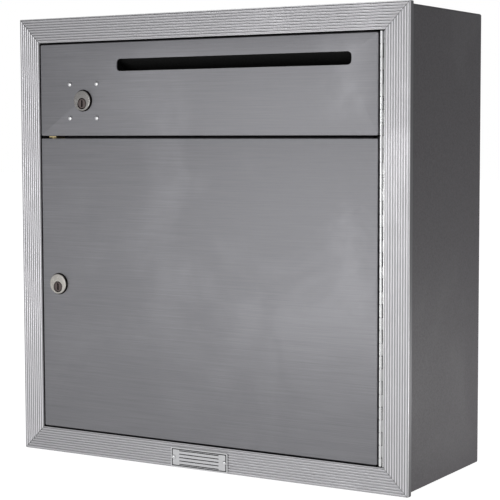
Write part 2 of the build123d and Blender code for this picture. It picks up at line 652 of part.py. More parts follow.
crown, foot, flange_edge = STIFFENER_HALF_WIDTHS
hat_foot = depth(DOOR_INSIDE + STIFFENER_SHEET / 2)
hat_crown = depth(STIFFENER_CROWN)
with BuildPart() as door_stiffener:
    with BuildSketch(Plane.XY.offset(STIFFENER_SPAN[0])):
        with BuildLine():
            FilletPolyline((-flange_edge, hat_foot), (-foot, hat_foot), (-crown, hat_crown),
                           (crown, hat_crown), (foot, hat_foot), (flange_edge, hat_foot),
                           radius=STIFFENER_BEND)
        trace(line_width=STIFFENER_SHEET)
    extrude(amount=STIFFENER_SPAN[1] - STIFFENER_SPAN[0])
save(door_stiffener.part, "door_stiffener")

# ---- Hood behind the mail slot -----------------------------------------------------------------
hood_half = SLOT_SIZE[0] / 2 + HOOD_MARGIN
hood_skin = depth(DOOR_INSIDE + HOOD_SHEET / 2)
hood_back = depth(HOOD_SLOPE_END[0])
slope_start, slope_end = (hood_skin, HOOD_SLOPE_TOP), (hood_back, HOOD_SLOPE_END[1])
behind_door = depth(DOOR_INSIDE + CLEAR)
with BuildPart() as slot_hood:
    with BuildSketch(Plane.YZ.offset(SLOT_CENTRE[0])):
        with BuildLine():
            FilletPolyline((hood_skin, HOOD_FLANGE_TOP), slope_start, slope_end,
                           (hood_back, HOOD_BOTTOM), radius=HOOD_BEND)
        trace(line_width=HOOD_SHEET)
    extrude(amount=hood_half, both=True)
    for side in (-1, 1):
        with BuildSketch(Plane.YZ.offset(SLOT_CENTRE[0] + side * (hood_half - HOOD_SHEET / 2))):
            with BuildLine():
                Polyline(slope_start, slope_end, (hood_back, HOOD_BOTTOM),
                         (depth(HOOD_CHEEK[0]), HOOD_BOTTOM), (behind_door, HOOD_CHEEK[1]),
                         (behind_door, HOOD_SLOPE_TOP), close=True)
            make_face()
        extrude(amount=HOOD_SHEET / 2, both=True)
save(slot_hood.part, "slot_hood")

# ---- Lock bodies and plugs ---------------------------------------------------------------------
def lock_body(centre, back):
    """Round lock face on a barrel, bored for a plug set below its centre."""
    plug = (centre[0], centre[1] - PLUG_DROP)
    with BuildPart() as body:
        with BuildSketch(front_plane(DOOR_FACE)):
            with Locations(centre):
                Circle(LOCK_FACE_RADIUS)
        extrude(amount=LOCK_FACE_RISE)
        fillet(body.edges().filter_by(GeomType.CIRCLE).sort_by(Axis.Y)[0], LOCK_EDGE_RADIUS)
        with BuildSketch(front_plane(back)):
            with Locations(centre):
                Circle(LOCK_BARREL_RADIUS)
        extrude(amount=back - DOOR_FACE)
        cut_holes(back, [plug], PLUG_RADIUS + SHAFT_CLEAR, back + 2 * LOCK_FACE_RISE)
    return body.part


def lock_plug(centre, barrel_back, tail_back):
    """Round plug with a keyway in its face and a square tail."""
    axis = (centre[0], centre[1] - PLUG_DROP)
    with BuildPart() as plug:
        with BuildSketch(front_plane(barrel_back)):
            with Locations(axis):
                Circle(PLUG_RADIUS)
        extrude(amount=barrel_back - PLUG_FACE)
        with BuildSketch(front_plane(PLUG_FACE)):
            with Locations(axis):
                Rectangle(*KEYWAY[:2])
        extrude(amount=-KEYWAY[2], mode=Mode.SUBTRACT)
        with BuildSketch(front_plane(tail_back)):
            with Locations(axis):
                Rectangle(SQUARE, SQUARE)
        extrude(amount=tail_back - barrel_back)
    return plug.part


upper_axis = (UPPER_LOCK[0], UPPER_LOCK[1] - PLUG_DROP)
lower_axis = (LOWER_LOCK[0], LOWER_LOCK[1] - PLUG_DROP)
with BuildPart() as upper_lock_body:
    add(lock_body(UPPER_LOCK, UPPER_BARREL_BACK))
save(upper_lock_body.part, "upper_lock_body")
with BuildPart() as lower_lock_body:
    add(lock_body(LOWER_LOCK, LOWER_BARREL_BACK))
save(lower_lock_body.part, "lower_lock_body")
with BuildPart() as upper_lock_plug:
    add(lock_plug(UPPER_LOCK, UPPER_BARREL_BACK + 2 * CLEAR, DRIVER_DEPTHS[1]))
save(upper_lock_plug.part, "upper_lock_plug")

cam_back = CAM_DEPTH + CAM_THICKNESS
with BuildPart() as lower_lock_plug:
    add(lock_plug(LOWER_LOCK, CAM_DEPTH - CLEAR, cam_back - CLEAR))
    cut_holes(cam_back, [lower_axis], CAM_SCREW + SHAFT_CLEAR, CAM_SCREW_LENGTH + 1)
save(lower_lock_plug.part, "lower_lock_plug")

# ---- Upper lock: riveted case, driver and bolt -------------------------------------------------
case_left = UPPER_LOCK[0] - CASE_SIZE / 2
posts = [(UPPER_LOCK[0], UPPER_LOCK[1] + side * POST_OFFSET) for side in (-1, 1)]
case_inner = CASE_SIZE - 2 * CASE_WALL

with BuildPart() as lock_case:
    with BuildSketch(front_plane(CASE_BACK)):
        with Locations(UPPER_LOCK):
            RectangleRounded(CASE_SIZE, CASE_SIZE, CASE_CORNER)
    extrude(amount=CASE_BACK - DOOR_INSIDE)
    with BuildSketch(front_plane(CASE_BACK)):
        with Locations(UPPER_LOCK):
            RectangleRounded(case_inner, case_inner, CASE_CORNER - CASE_WALL)
        with Locations(*posts):
            Circle(POST_RADIUS, mode=Mode.SUBTRACT)
    extrude(amount=CASE_BACK - DOOR_INSIDE - DOOR_SHEET, mode=Mode.SUBTRACT)
    cut_holes(DOOR_INSIDE + 2 * DOOR_SHEET, [UPPER_LOCK], LOCK_HOLE, 3 * DOOR_SHEET)
    cut_holes(DOOR_INSIDE + DOOR_SHEET, lock_rivet_points, RIVET + SHAFT_CLEAR, 2 * DOOR_SHEET)
    cut_holes(CASE_BACK, posts, *POST_BORE)
    add_box((case_left - 1, case_left + CASE_WALL + 1),
            (BOLT_DEPTHS[0] - BOLT_CLEAR, BOLT_DEPTHS[1] + BOLT_CLEAR),
            (BOLT_Z[0] - BOLT_CLEAR, BOLT_Z[1] + BOLT_CLEAR), Mode.SUBTRACT)
save(lock_case.part, "lock_case")

with BuildPart() as lock_cover:
    with BuildSketch(front_plane(CASE_BACK + COVER)):
        with Locations(UPPER_LOCK):
            RectangleRounded(CASE_SIZE, CASE_SIZE, CASE_CORNER)
        with Locations(*posts):
            Circle(COVER_HOLE, mode=Mode.SUBTRACT)
    extrude(amount=COVER)
save(lock_cover.part, "lock_cover")
cover_screw = pan_screw(*COVER_SCREW, *COVER_SCREW_HEAD)
save_copies(cover_screw, "cover_screws", facing_back(posts, CASE_BACK + COVER))
lock_rivet = domed_rivet(RIVET, 2 * DOOR_SHEET, *LOCK_RIVET_HEAD)
save_copies(lock_rivet, "lock_rivets", facing_front(lock_rivet_points, DOOR_FACE))

with BuildPart() as lock_driver:
    with BuildSketch(front_plane(DRIVER_DEPTHS[1])):
        with Locations(upper_axis):
            Circle(DRIVER_RADIUS)
            Rectangle(SQUARE + CLEAR, SQUARE + CLEAR, mode=Mode.SUBTRACT)
    extrude(amount=DRIVER_DEPTHS[1] - DRIVER_DEPTHS[0])
    with BuildSketch(front_plane(BOLT_DEPTHS[1] - BOLT_CLEAR)):
        with Locations((upper_axis[0] + CRANK_THROW, upper_axis[1] - CRANK_THROW)):
            Circle(CRANK_PIN)
    extrude(amount=BOLT_DEPTHS[1] - BOLT_CLEAR - DRIVER_DEPTHS[1])
save(lock_driver.part, "lock_driver")

with BuildPart() as lock_bolt:
    add_box(BOLT_X, BOLT_DEPTHS, BOLT_Z)
    fillet(lock_bolt.edges().filter_by(Axis.Z).group_by(Axis.X)[0], BOLT_NOSE_RADIUS)
    slot_x = upper_axis[0] + CRANK_THROW
    add_box((slot_x - BOLT_SLOT[0] / 2, slot_x + BOLT_SLOT[0] / 2),
            (BOLT_DEPTHS[0] - 1, BOLT_DEPTHS[1] + 1), BOLT_SLOT[1:], Mode.SUBTRACT)
save(lock_bolt.part, "lock_bolt")

# ---- Lower lock: nut, cam and screw ------------------------------------------------------------
with BuildPart() as lower_lock_nut:
    with BuildSketch(front_plane(DOOR_INSIDE + NUT_THICKNESS)):
        with Locations(LOWER_LOCK):
            RegularPolygon(NUT_APOTHEM, 6, major_radius=False)
            Circle(LOCK_BARREL_RADIUS + SHAFT_CLEAR, mode=Mode.SUBTRACT)
    extrude(amount=NUT_THICKNESS)
save(lower_lock_nut.part, "lower_lock_nut")

with BuildPart() as lock_cam:
    with BuildSketch(front_plane(cam_back)):
        with Locations(lower_axis):
            Circle(CAM_RADIUS)
        with Locations((lower_axis[0], lower_axis[1] - CAM_LENGTH / 2)):
            Rectangle(2 * CAM_RADIUS, CAM_LENGTH)
        with Locations(lower_axis):
            Rectangle(SQUARE + CLEAR, SQUARE + CLEAR, mode=Mode.SUBTRACT)
    extrude(amount=CAM_THICKNESS)
    fillet(lock_cam.edges().filter_by(Axis.Y).group_by(Axis.Z)[0], CAM_TIP_RADIUS)
save(lock_cam.part, "lock_cam")
cam_screw = pan_screw(CAM_SCREW, CAM_SCREW_LENGTH, *CAM_SCREW_HEAD)
save_copies(cam_screw, "cam_screw", facing_back([lower_axis], cam_back))

# ---- Keepers on the left jamb ------------------------------------------------------------------
with BuildPart() as bolt_strike:
    add_box(STRIKE_X, (STOP_DEPTH - SHEET, STOP_DEPTH), STRIKE_Z)
    fillet(bolt_strike.edges().filter_by(Axis.Y), STRIKE_CORNER)
    cut_holes(STOP_DEPTH, BOLT_STRIKE_RIVETS, RIVET + SHAFT_CLEAR, SHEET)
save(bolt_strike.part, "bolt_strike")

keeper_leg = depth(STOP_DEPTH - STRIKE_SHEET / 2)
keeper_level = PLUNGER_TOP + KEEPER_GAP + STRIKE_SHEET / 2
with BuildPart() as catch_strike:
    with BuildSketch(Plane.YZ.offset(CATCH_X)):
        with BuildLine():
            FilletPolyline((depth(KEEPER_FRONT), keeper_level), (keeper_leg, keeper_level),
                           (keeper_leg, KEEPER_LOW), radius=KEEPER_BEND)
        trace(line_width=STRIKE_SHEET)
    extrude(amount=KEEPER_HALF, both=True)
    add_box(KEEPER_FOOT[0], (STOP_DEPTH - STRIKE_SHEET, STOP_DEPTH), KEEPER_FOOT[1])
    with Locations((CATCH_X, depth(CATCH_DEPTH), keeper_level)):
        Cylinder(PLUNGER_RADIUS + KEEPER_GAP, 3 * STRIKE_SHEET, mode=Mode.SUBTRACT)
    cut_holes(STOP_DEPTH, KEEPER_RIVETS, SMALL_RIVET + SHAFT_CLEAR, 2 * STRIKE_SHEET)
save(catch_strike.part, "catch_strike")

big_strike_rivet = domed_rivet(RIVET, 2 * SHEET, *STRIKE_RIVET_HEAD)
small_strike_rivet = domed_rivet(SMALL_RIVET, STRIKE_SHEET + SHEET, *KEEPER_RIVET_HEAD)
with BuildPart() as strike_rivets:
    with Locations(*facing_front(BOLT_STRIKE_RIVETS, STOP_DEPTH - SHEET)):
        add(big_strike_rivet)
    with Locations(*facing_front(KEEPER_RIVETS, STOP_DEPTH - STRIKE_SHEET)):
        add(small_strike_rivet)
save(strike_rivets.part, "strike_rivets")

bumper_rise = STOP_DEPTH - DOOR_BACK - BUMPER_GAP
bumper_edge = (BUMPER_RADIUS - BUMPER_EDGE, bumper_rise)
bumper_side = (BUMPER_RADIUS, bumper_rise - BUMPER_EDGE)
barb, barb_tip, barb_length = BUMPER_BARB
with BuildPart() as bumper:
    with BuildSketch(Plane.XZ):
        with BuildLine():
            Polyline((0, bumper_rise), bumper_edge)
            RadiusArc(bumper_edge, bumper_side, BUMPER_EDGE)
            Polyline(bumper_side, (BUMPER_RADIUS, 0), (BUMPER_STEM, 0), (BUMPER_STEM, -SHEET),
                     (barb, -SHEET), (barb_tip, -barb_length), (0, -barb_length), (0, bumper_rise))
        make_face()
    revolve(axis=Axis.Z)
save_copies(bumper.part, "door_bumpers", facing_front(BUMPERS, STOP_DEPTH))

# ---- Bullet catch in the lower door's top flange -----------------------------------------------
def turned(outline):
    """Turn an outline of (radius, height) points about the catch's upright axis."""
    with BuildPart() as shape:
        with BuildSketch(Plane.XZ):
            with BuildLine():
                Polyline(*outline, close=True)
            make_face()
        revolve(axis=Axis.Z)
    return shape.part


with BuildPart() as catch_body:
    with Locations((CATCH_X, depth(CATCH_DEPTH), 0)):
        add(turned([(0, CATCH_FLOOR), (CATCH_BARREL, CATCH_FLOOR), (CATCH_BARREL, CATCH_TOP),
                    (CATCH_RIM, CATCH_TOP), (CATCH_RIM, CATCH_TOP + CATCH_RISE),
                    (CATCH_MOUTH, CATCH_TOP + CATCH_RISE), (CATCH_MOUTH, CATCH_LIP),
                    (CATCH_BORE, CATCH_LIP), (CATCH_BORE, CATCH_FLOOR + 1), (0, CATCH_FLOOR + 1)]))
save(catch_body.part, "catch_body")

with BuildPart() as catch_plunger:
    with Locations((CATCH_X, depth(CATCH_DEPTH), 0)):
        add(turned([(0, COLLAR_BOTTOM), (COLLAR, COLLAR_BOTTOM), (COLLAR, COLLAR_TOP),
                    (PLUNGER_RADIUS, COLLAR_TOP), (PLUNGER_RADIUS, PLUNGER_TOP), (0, PLUNGER_TOP)]))
    fillet(catch_plunger.edges().filter_by(GeomType.CIRCLE).group_by(Axis.Z)[-1], PLUNGER_NOSE)
save(catch_plunger.part, "catch_plunger")

spring_low = CATCH_FLOOR + 1 + SPRING_WIRE
spring_height = COLLAR_BOTTOM - SPRING_WIRE - spring_low
with BuildPart() as catch_spring:
    with BuildLine(Plane(origin=(CATCH_X, depth(CATCH_DEPTH), spring_low))) as coil:
        Helix(spring_height / SPRING_TURNS, spring_height, SPRING_RADIUS)
    with BuildSketch(Plane(origin=coil.line @ 0, z_dir=coil.line % 0)):
        Circle(SPRING_WIRE)
    sweep(is_frenet=True)
save(catch_spring.part, "catch_spring")

# ---- Nameplate ---------------------------------------------------------------------------------
with BuildPart() as nameplate:
    with BuildSketch(front_plane(0)):
        with Locations(PLATE_CENTRE):
            RectangleRounded(*PLATE_SIZE, PLATE_CORNER)
        with Locations(*PLATE_RIVETS):
            Circle(SMALL_RIVET + SHAFT_CLEAR, mode=Mode.SUBTRACT)
    extrude(amount=PLATE_SHEET)
save(nameplate.part, "nameplate")

plate_head, plate_head_rise = PLATE_RIVET_HEAD
plate_grip = PLATE_SHEET + TRIM_BACK
with BuildPart() as plate_rivet:
    with BuildSketch(Plane.XZ):
        with BuildLine():
            TangentArc((0, plate_head_rise), (plate_head, 0), tangent=(1, 0))
            Polyline((plate_head, 0), (SMALL_RIVET, 0), (SMALL_RIVET, -plate_grip),
                     (0, -plate_grip), (0, plate_head_rise))
        make_face()
    revolve(axis=Axis.Z)
save_copies(plate_rivet.part, "nameplate_rivets", facing_front(PLATE_RIVETS, -PLATE_SHEET))
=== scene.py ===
"""Parcel drop box: finished pieces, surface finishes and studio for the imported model.

Every size is in metres. X runs to the right, Y back into the wall and Z up; the origin is the
centre of the wall-bolt holes on the back of the box. "Depth" is counted back from the crests of
the trim's ribs, and "inset" inwards from the trim's outer edge.
"""
import json
import math

import bmesh
import bpy
from bpy.props import FloatProperty, FloatVectorProperty, IntProperty, PointerProperty
from mathutils import Matrix, Vector


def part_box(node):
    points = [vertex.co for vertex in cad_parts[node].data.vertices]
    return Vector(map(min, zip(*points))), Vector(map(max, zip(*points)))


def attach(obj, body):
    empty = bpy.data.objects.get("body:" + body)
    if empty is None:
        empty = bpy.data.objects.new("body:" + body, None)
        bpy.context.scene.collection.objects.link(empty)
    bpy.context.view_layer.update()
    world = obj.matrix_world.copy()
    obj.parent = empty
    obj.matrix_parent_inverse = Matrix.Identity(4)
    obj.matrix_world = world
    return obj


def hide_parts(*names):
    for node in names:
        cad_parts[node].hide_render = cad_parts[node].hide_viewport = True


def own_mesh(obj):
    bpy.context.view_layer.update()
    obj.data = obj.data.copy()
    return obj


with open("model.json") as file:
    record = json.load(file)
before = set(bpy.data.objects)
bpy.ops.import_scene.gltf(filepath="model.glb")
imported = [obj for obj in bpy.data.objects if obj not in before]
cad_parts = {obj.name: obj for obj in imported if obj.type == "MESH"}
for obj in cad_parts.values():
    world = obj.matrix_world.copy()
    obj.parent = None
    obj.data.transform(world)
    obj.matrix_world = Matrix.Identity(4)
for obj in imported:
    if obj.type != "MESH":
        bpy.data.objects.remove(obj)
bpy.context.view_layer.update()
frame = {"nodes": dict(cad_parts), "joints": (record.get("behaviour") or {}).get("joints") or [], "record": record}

bl_info = {
    "name": "Parcel Drop Box",
    "version": (1, 0, 0),
    "blender": (4, 5, 0),
    "location": "3D View > Sidebar > Drop Box",
    "description": "Builds the finished pieces of a parcel drop box around its packed frame",
    "category": "Object",
}

MM = 0.001
CIRCLE_STEPS = 64
CORNER_STEPS = 8
RIB_STEPS = 16.0
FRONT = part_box("trim_left")[0].y
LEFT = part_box("trim_left")[0].x
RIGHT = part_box("trim_right")[1].x
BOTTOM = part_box("trim_bottom")[0].z
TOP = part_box("trim_top")[1].z


# ---- Settings ----------------------------------------------------------------------------------
def length(name, description, default):
    """A length property in metres."""
    return FloatProperty(name=name, description=description, default=default, unit="LENGTH",
                         subtype="DISTANCE", precision=5)


def turn(name, description, degrees):
    """An angle property."""
    return FloatProperty(name=name, description=description, default=math.radians(degrees),
                         unit="ROTATION", subtype="ANGLE")


def tint(name, description, default):
    """A colour property."""
    return FloatVectorProperty(name=name, description=description, default=default,
                               subtype="COLOR", size=3, min=0.0, max=1.0)


def factor(name, description, default):
    """A number from nothing to all."""
    return FloatProperty(name=name, description=description, default=default, min=0.0, max=1.0,
                         subtype="FACTOR")


def strength(name, description, default):
    """How strong a light is."""
    return FloatProperty(name=name, description=description, default=default, min=0.0)


class TrimSettings(bpy.types.PropertyGroup):
    width: length("Width", "Width of a trim bar", 26.6 * MM)
    rib_count: IntProperty(name="Ribs", description="Ribs on each bar", default=9, min=1)
    rib_pitch: length("Rib Pitch", "Distance from rib to rib", 2.8 * MM)
    rib_width: length("Rib Width", "Width of one rib", 2.1 * MM)
    rib_rise: length("Rib Rise", "Height of a rib above its valleys", 0.6 * MM)
    mitre_gap: length("Mitre Gap", "Distance from each bar's end to the mitre line", 0.28 * MM)
    colour: tint("Colour", "Clear anodised extrusion", (0.92, 0.91, 0.935))
    roughness: factor("Roughness", "Roughness of the extrusion", 0.36)


class DoorSettings(bpy.types.PropertyGroup):
    sheet: length("Sheet", "Thickness of the door sheet", 2.0 * MM)
    bend: length("Bend", "Radius of the bend round the front", 0.8 * MM)
    corner: length("Corner", "Radius of the corners seen from the front", 1.6 * MM)
    hinge_gap: length("Hinge Gap", "How far the skin stops short of its hinge leaf", 0.7 * MM)
    slot_width: length("Slot Width", "Width of the mail slot", 284.0 * MM)
    slot_height: length("Slot Height", "Height of the mail slot", 13.2 * MM)
    slot_corner: length("Slot Corner", "Corner radius of the mail slot", 4.5 * MM)
    colour: tint("Colour", "Brushed door sheet", (0.285, 0.283, 0.298))
    roughness: factor("Roughness", "Roughness of the brushed sheet", 0.42)


class HingeSettings(bpy.types.PropertyGroup):
    knuckle: length("Knuckle", "Distance from knuckle to knuckle", 12.7 * MM)
    gap: length("Gap", "Gap between two knuckles", 0.8 * MM)
    barrel: length("Barrel Radius", "Outer radius of the knuckles", 1.75 * MM)
    bore: length("Bore Radius", "Inner radius of the knuckles", 1.25 * MM)
    bead: length("Bead", "Width of the fixed leaf's front bead", 1.3 * MM)
    colour: tint("Colour", "Bright stainless", (1.0, 1.0, 1.0))
    roughness: factor("Roughness", "Roughness of the hinge", 0.26)


class LockSettings(bpy.types.PropertyGroup):
    face: length("Face Radius", "Radius of the lock face", 11.1 * MM)
    plug: length("Plug Radius", "Radius of the plug", 5.25 * MM)
    plug_drop: length("Plug Drop", "How far the plug lies below the middle of the face", 3.3 * MM)
    keyway_width: length("Keyway Width", "Width of the keyway", 1.7 * MM)
    keyway_height: length("Keyway Height", "Height of the keyway", 7.4 * MM)
    colour: tint("Colour", "Nickel plating", (0.74, 0.71, 0.66))
    upper_colour: tint("Upper Lock Colour", "Darker plating of the upper lock", (0.50, 0.48, 0.46))
    plug_colour: tint("Plug Colour", "Worn plug of darker metal", (0.17, 0.14, 0.135))
    roughness: factor("Roughness", "Roughness of the plating", 0.22)
    # Depth below the lock face where its side wall gets painted shade.
    painted_shade: length("Painted Shade Depth", "Depth below the face where dirt and tarnish begin", 0.7 * MM)


class PlateSettings(bpy.types.PropertyGroup):
    border: length("Border", "Distance from the plate's edge to its raised border", 1.5 * MM)
    line: length("Line", "Width of the raised border and rules", 1.0 * MM)
    rules: IntProperty(name="Rules", description="Plain ruled lines on the plate", default=5, min=0)
    colour: tint("Colour", "Satin plate", (0.72, 0.72, 0.73))
    ink: tint("Ink", "Paint on the border and rules", (0.03, 0.03, 0.032))


class CasingSettings(bpy.types.PropertyGroup):
    colour: tint("Colour", "Satin dark grey coat", (0.066, 0.060, 0.066))
    roughness: factor("Roughness", "Roughness of the coat", 0.46)
    wear: factor("Edge Wear", "How much the coat is rubbed along its edges", 0.25)


class StageSettings(bpy.types.PropertyGroup):
    camera_place: FloatVectorProperty(
        name="Camera Place", description="Where the camera stands",
        default=(0.8812, -1.5251, 0.1168), subtype="XYZ", unit="LENGTH")
    yaw: turn("Yaw", "Camera's turn to the left of straight ahead", 31.36)
    pitch: turn("Pitch", "Camera's tilt down", 4.405)
    roll: turn("Roll", "Camera's roll", -0.16)
    lens: FloatProperty(name="Lens", description="Focal length", default=110.87, unit="CAMERA")
    floor_colour: tint("Floor", "Pale floor", (0.90, 0.90, 0.90))
    floor_glow: strength("Floor Glow", "How much paler the lit floor looks", 0.55)
    floor_bounce: strength("Floor Bounce", "Light that the floor gives back", 0.5)
    room_light: strength("Room Light", "Strength of the room's light", 0.57)
    ceiling_light: strength("Ceiling Light", "Strength of the light overhead", 0.08)


# ---- Node helpers ------------------------------------------------------------------------------
class Reading:
    """A node's output, which takes part in sums and feeds other nodes."""

    def __init__(self, tree, socket):
        self.tree = tree
        self.socket = socket

    def sum(self, operation, other=0.0):
        """The result of one Math node."""
        return reading(self.tree, "ShaderNodeMath", {0: self, 1: other}, operation=operation)

    def __add__(self, other):
        return self.sum("ADD", other)

    def __sub__(self, other):
        return self.sum("SUBTRACT", other)

    def __mul__(self, other):
        return self.sum("MULTIPLY", other)

    def __truediv__(self, other):
        return self.sum("DIVIDE", other)


def connect(tree, value, socket):
    """Link an output to a socket, or set the socket to a plain value."""
    value = value.socket if isinstance(value, Reading) else value
    if isinstance(value, bpy.types.NodeSocket):
        tree.links.new(value, socket)
    else:
        socket.default_value = value


def add_node(tree, kind, inputs=None, **settings):
    """A node with its settings and inputs."""
    node = tree.nodes.new(kind)
    for key, value in settings.items():
        setattr(node, key, value)
    for key, value in (inputs or {}).items():
        connect(tree, value, node.inputs[key])
    return node


def reading(tree, kind, inputs=None, output=0, **settings):
    """One output of a new node."""
    return Reading(tree, add_node(tree, kind, inputs, **settings).outputs[output])


def axes(tree, vector):
    """A vector's three numbers."""
    parts = add_node(tree, "ShaderNodeSeparateXYZ", {0: vector})
    return [Reading(tree, out) for out in parts.outputs]


def point(tree, x=0.0, y=0.0, z=0.0):
    """A vector from three numbers."""
    return reading(tree, "ShaderNodeCombineXYZ", {0: x, 1: y, 2: z})


def ranged(tree, value, start, full, low=0.0, high=1.0, **settings):
    """A number brought from one range to another and held within it."""
    return reading(tree, "ShaderNodeMapRange", {"Value": value, "From Min": start, "From Max": full,
                                                "To Min": low, "To Max": high}, **settings)


def noise(tree, vector, scale, detail=2.0, roughness=0.5, distortion=0.0):
    """Soft noise from nothing to one."""
    return reading(tree, "ShaderNodeTexNoise",
                   {"Vector": vector, "Scale": scale, "Detail": detail, "Roughness": roughness,
                    "Distortion": distortion}, output="Fac")


def new_group(name, kind, inputs, outputs):
    """A node group, readings of its inputs (name, socket, default), and its output node."""
    group = bpy.data.node_groups.new(name, kind)
    for label, socket, *default in inputs:
        item = group.interface.new_socket(label, in_out="INPUT", socket_type="NodeSocket" + socket)
        if default:
            item.default_value = default[0]
    for label, socket in outputs:
        group.interface.new_socket(label, in_out="OUTPUT", socket_type="NodeSocket" + socket)
    start = group.nodes.new("NodeGroupInput")
    values = {label: Reading(group, start.outputs[label]) for label, *_ in inputs}
    return group, values, group.nodes.new("NodeGroupOutput")


def close_group(group, end, results):
    """Lead a group's results out of it."""
    for label, value in results.items():
        connect(group, value, end.inputs[label])
    return group


def blend_colours(tree, mask, first, second):
    """A colour between two, by a mask."""
    mix = add_node(tree, "ShaderNodeMix", data_type="RGBA")
    for key, value in (("Factor", mask), ("A", first), ("B", second)):
        connect(tree, value, next(s for s in mix.inputs if s.name == key and s.enabled))
    return Reading(tree, next(s for s in mix.outputs if s.enabled))


# ---- Shared surface effects --------------------------------------------------------------------
def drawn_grain_group():
    """Streaks left by brushing or by an extrusion die, long one way and fine across."""
    group, value, end = new_group(
        "Drawn Grain", "ShaderNodeTree",
        [("Vector", "Vector"), ("Stretch", "Vector", (1.0, 1.0, 1.0)), ("Contrast", "Float", 1.0)],
        [("Streaks", "Float"), ("Height", "Float")])
    drawn = reading(group, "ShaderNodeVectorMath", {0: value["Vector"], 1: value["Stretch"]},
                    operation="MULTIPLY")
    fine = noise(group, drawn, 1.0, 4.0, 0.65)
    wide = noise(group, drawn, 0.17)
    streaks = (fine * 0.8 + wide * 0.2 - 0.5) * value["Contrast"] + 0.5
    held = reading(group, "ShaderNodeClamp", {"Value": streaks})
    return close_group(group, end, {"Streaks": held, "Height": fine})


def handling_haze_group():
    """Large soft clouds of handling, cleaning and weather."""
    group, value, end = new_group(
        "Handling Haze", "ShaderNodeTree",
        [("Vector", "Vector"), ("Scale", "Float", 12.0), ("Cover", "Float", 0.5)],
        [("Haze", "Float")])
    clouds = noise(group, value["Vector"], value["Scale"], 5.0, 0.6, 0.4)
    full = value["Cover"] * -0.4 + 0.75
    haze = ranged(group, clouds, full - 0.2, full, interpolation_type="SMOOTHSTEP")
    return close_group(group, end, {"Haze": haze})


def grit_group():
    """Tiny pits and specks, as in a powder coat or on a cast or sawn surface."""
    group, value, end = new_group(
        "Grit", "ShaderNodeTree",
        [("Vector", "Vector"), ("Scale", "Float", 900.0), ("Size", "Float", 0.3)],
        [("Specks", "Float"), ("Height", "Float")])
    cells = reading(group, "ShaderNodeTexVoronoi",
                    {"Vector": value["Vector"], "Scale": value["Scale"]}, output="Distance")
    return close_group(group, end, {"Specks": ranged(group, cells, 0.0, value["Size"], 1.0, 0.0),
                                    "Height": noise(group, value["Vector"], value["Scale"])})


def edge_rub_group():
    """Rubbed places near the edges of a box of a given middle and half size."""
    group, value, end = new_group(
        "Edge Rub", "ShaderNodeTree",
        [("Vector", "Vector"), ("Middle", "Vector", (0.0, 0.0, 0.0)),
         ("Half Size", "Vector", (1.0, 1.0, 1.0)), ("Reach", "Float", 0.004)],
        [("Rub", "Float")])
    offset = reading(group, "ShaderNodeVectorMath", {0: value["Vector"], 1: value["Middle"]},
                     operation="SUBTRACT")
    outward = reading(group, "ShaderNodeVectorMath", {0: offset}, operation="ABSOLUTE")
    inside = reading(group, "ShaderNodeVectorMath", {0: value["Half Size"], 1: outward},
                     operation="SUBTRACT")
    x, y, z = (axis.sum("MAXIMUM") for axis in axes(group, inside))
    sides = y.sum("MAXIMUM", z).sum("MINIMUM", x.sum("MAXIMUM", z))
    near = x.sum("MAXIMUM", y).sum("MINIMUM", sides)
    ragged = value["Reach"] * (noise(group, value["Vector"], 140.0, 4.0) * 2.0)
    return close_group(group, end, {"Rub": ranged(group, near, 0.0, ragged, 1.0, 0.0)})


def depth_shade_group():
    """Painted shade that thickens from one depth to another, and stops just past an end depth."""
    group, value, end = new_group(
        "Painted Depth Shade", "ShaderNodeTree",
        [("Vector", "Vector"), ("Start", "Float", 0.0), ("Full", "Float", 0.001),
         ("End", "Float", 1.0)],
        [("Shade Mask", "Float")])
    depth = axes(group, value["Vector"])[1]
    rise = ranged(group, depth, value["Start"], value["Full"])
    fall = ranged(group, depth, value["End"], value["End"] + 0.15 * MM, 1.0, 0.0)
    return close_group(group, end, {"Shade Mask": rise * fall})


EFFECTS = {}
EFFECT_MAKERS = {"Drawn Grain": drawn_grain_group, "Handling Haze": handling_haze_group,
                 "Grit": grit_group, "Edge Rub": edge_rub_group, "Painted Depth Shade": depth_shade_group}


def effect(tree, name, inputs):
    """Place one of the shared effects in a material; returns readings of its results."""
    if name not in EFFECTS:
        EFFECTS[name] = EFFECT_MAKERS[name]()
    node = add_node(tree, "ShaderNodeGroup", inputs, node_tree=EFFECTS[name])
    return {out.name: Reading(tree, out) for out in node.outputs}


def new_finish(name, **constants):
    """A material with an empty Principled shader; constants go on its own sockets."""
    material = bpy.data.materials.new(name)
    material.use_nodes = True
    tree = material.node_tree
    shader = next(n for n in tree.nodes if n.type == "BSDF_PRINCIPLED")
    for key, value in constants.items():
        shader.inputs[key.replace("_", " ").title().replace("Ior", "IOR")].default_value = value
    return material, tree, shader, reading(tree, "ShaderNodeTexCoord", output="Object")


def dress(tree, shader, colour, rough, height, relief, relief_depth):
    """Feed a shader its colour, its roughness and its fine relief."""
    connect(tree, colour, shader.inputs["Base Color"])
    connect(tree, rough, shader.inputs["Roughness"])
    raised = reading(tree, "ShaderNodeBump",
                     {"Height": height, "Strength": relief, "Distance": relief_depth})
    connect(tree, raised, shader.inputs["Normal"])


def shade(colour, amount=1.0):
    """A colour made lighter or darker, as four numbers."""
    return (*(min(1.0, c * amount) for c in colour), 1.0)


def haze_mask(tree, place, scale, cover=0.5):
    """A mask of soft clouds."""
    return effect(tree, "Handling Haze", {"Vector": place, "Scale": scale, "Cover": cover})["Haze"]


def depth_shade_mask(tree, place, start, full, end=1.0):
    """A mask of painted shade between two depths."""
    return effect(tree, "Painted Depth Shade",
                  {"Vector": place, "Start": start, "Full": full, "End": end})["Shade Mask"]


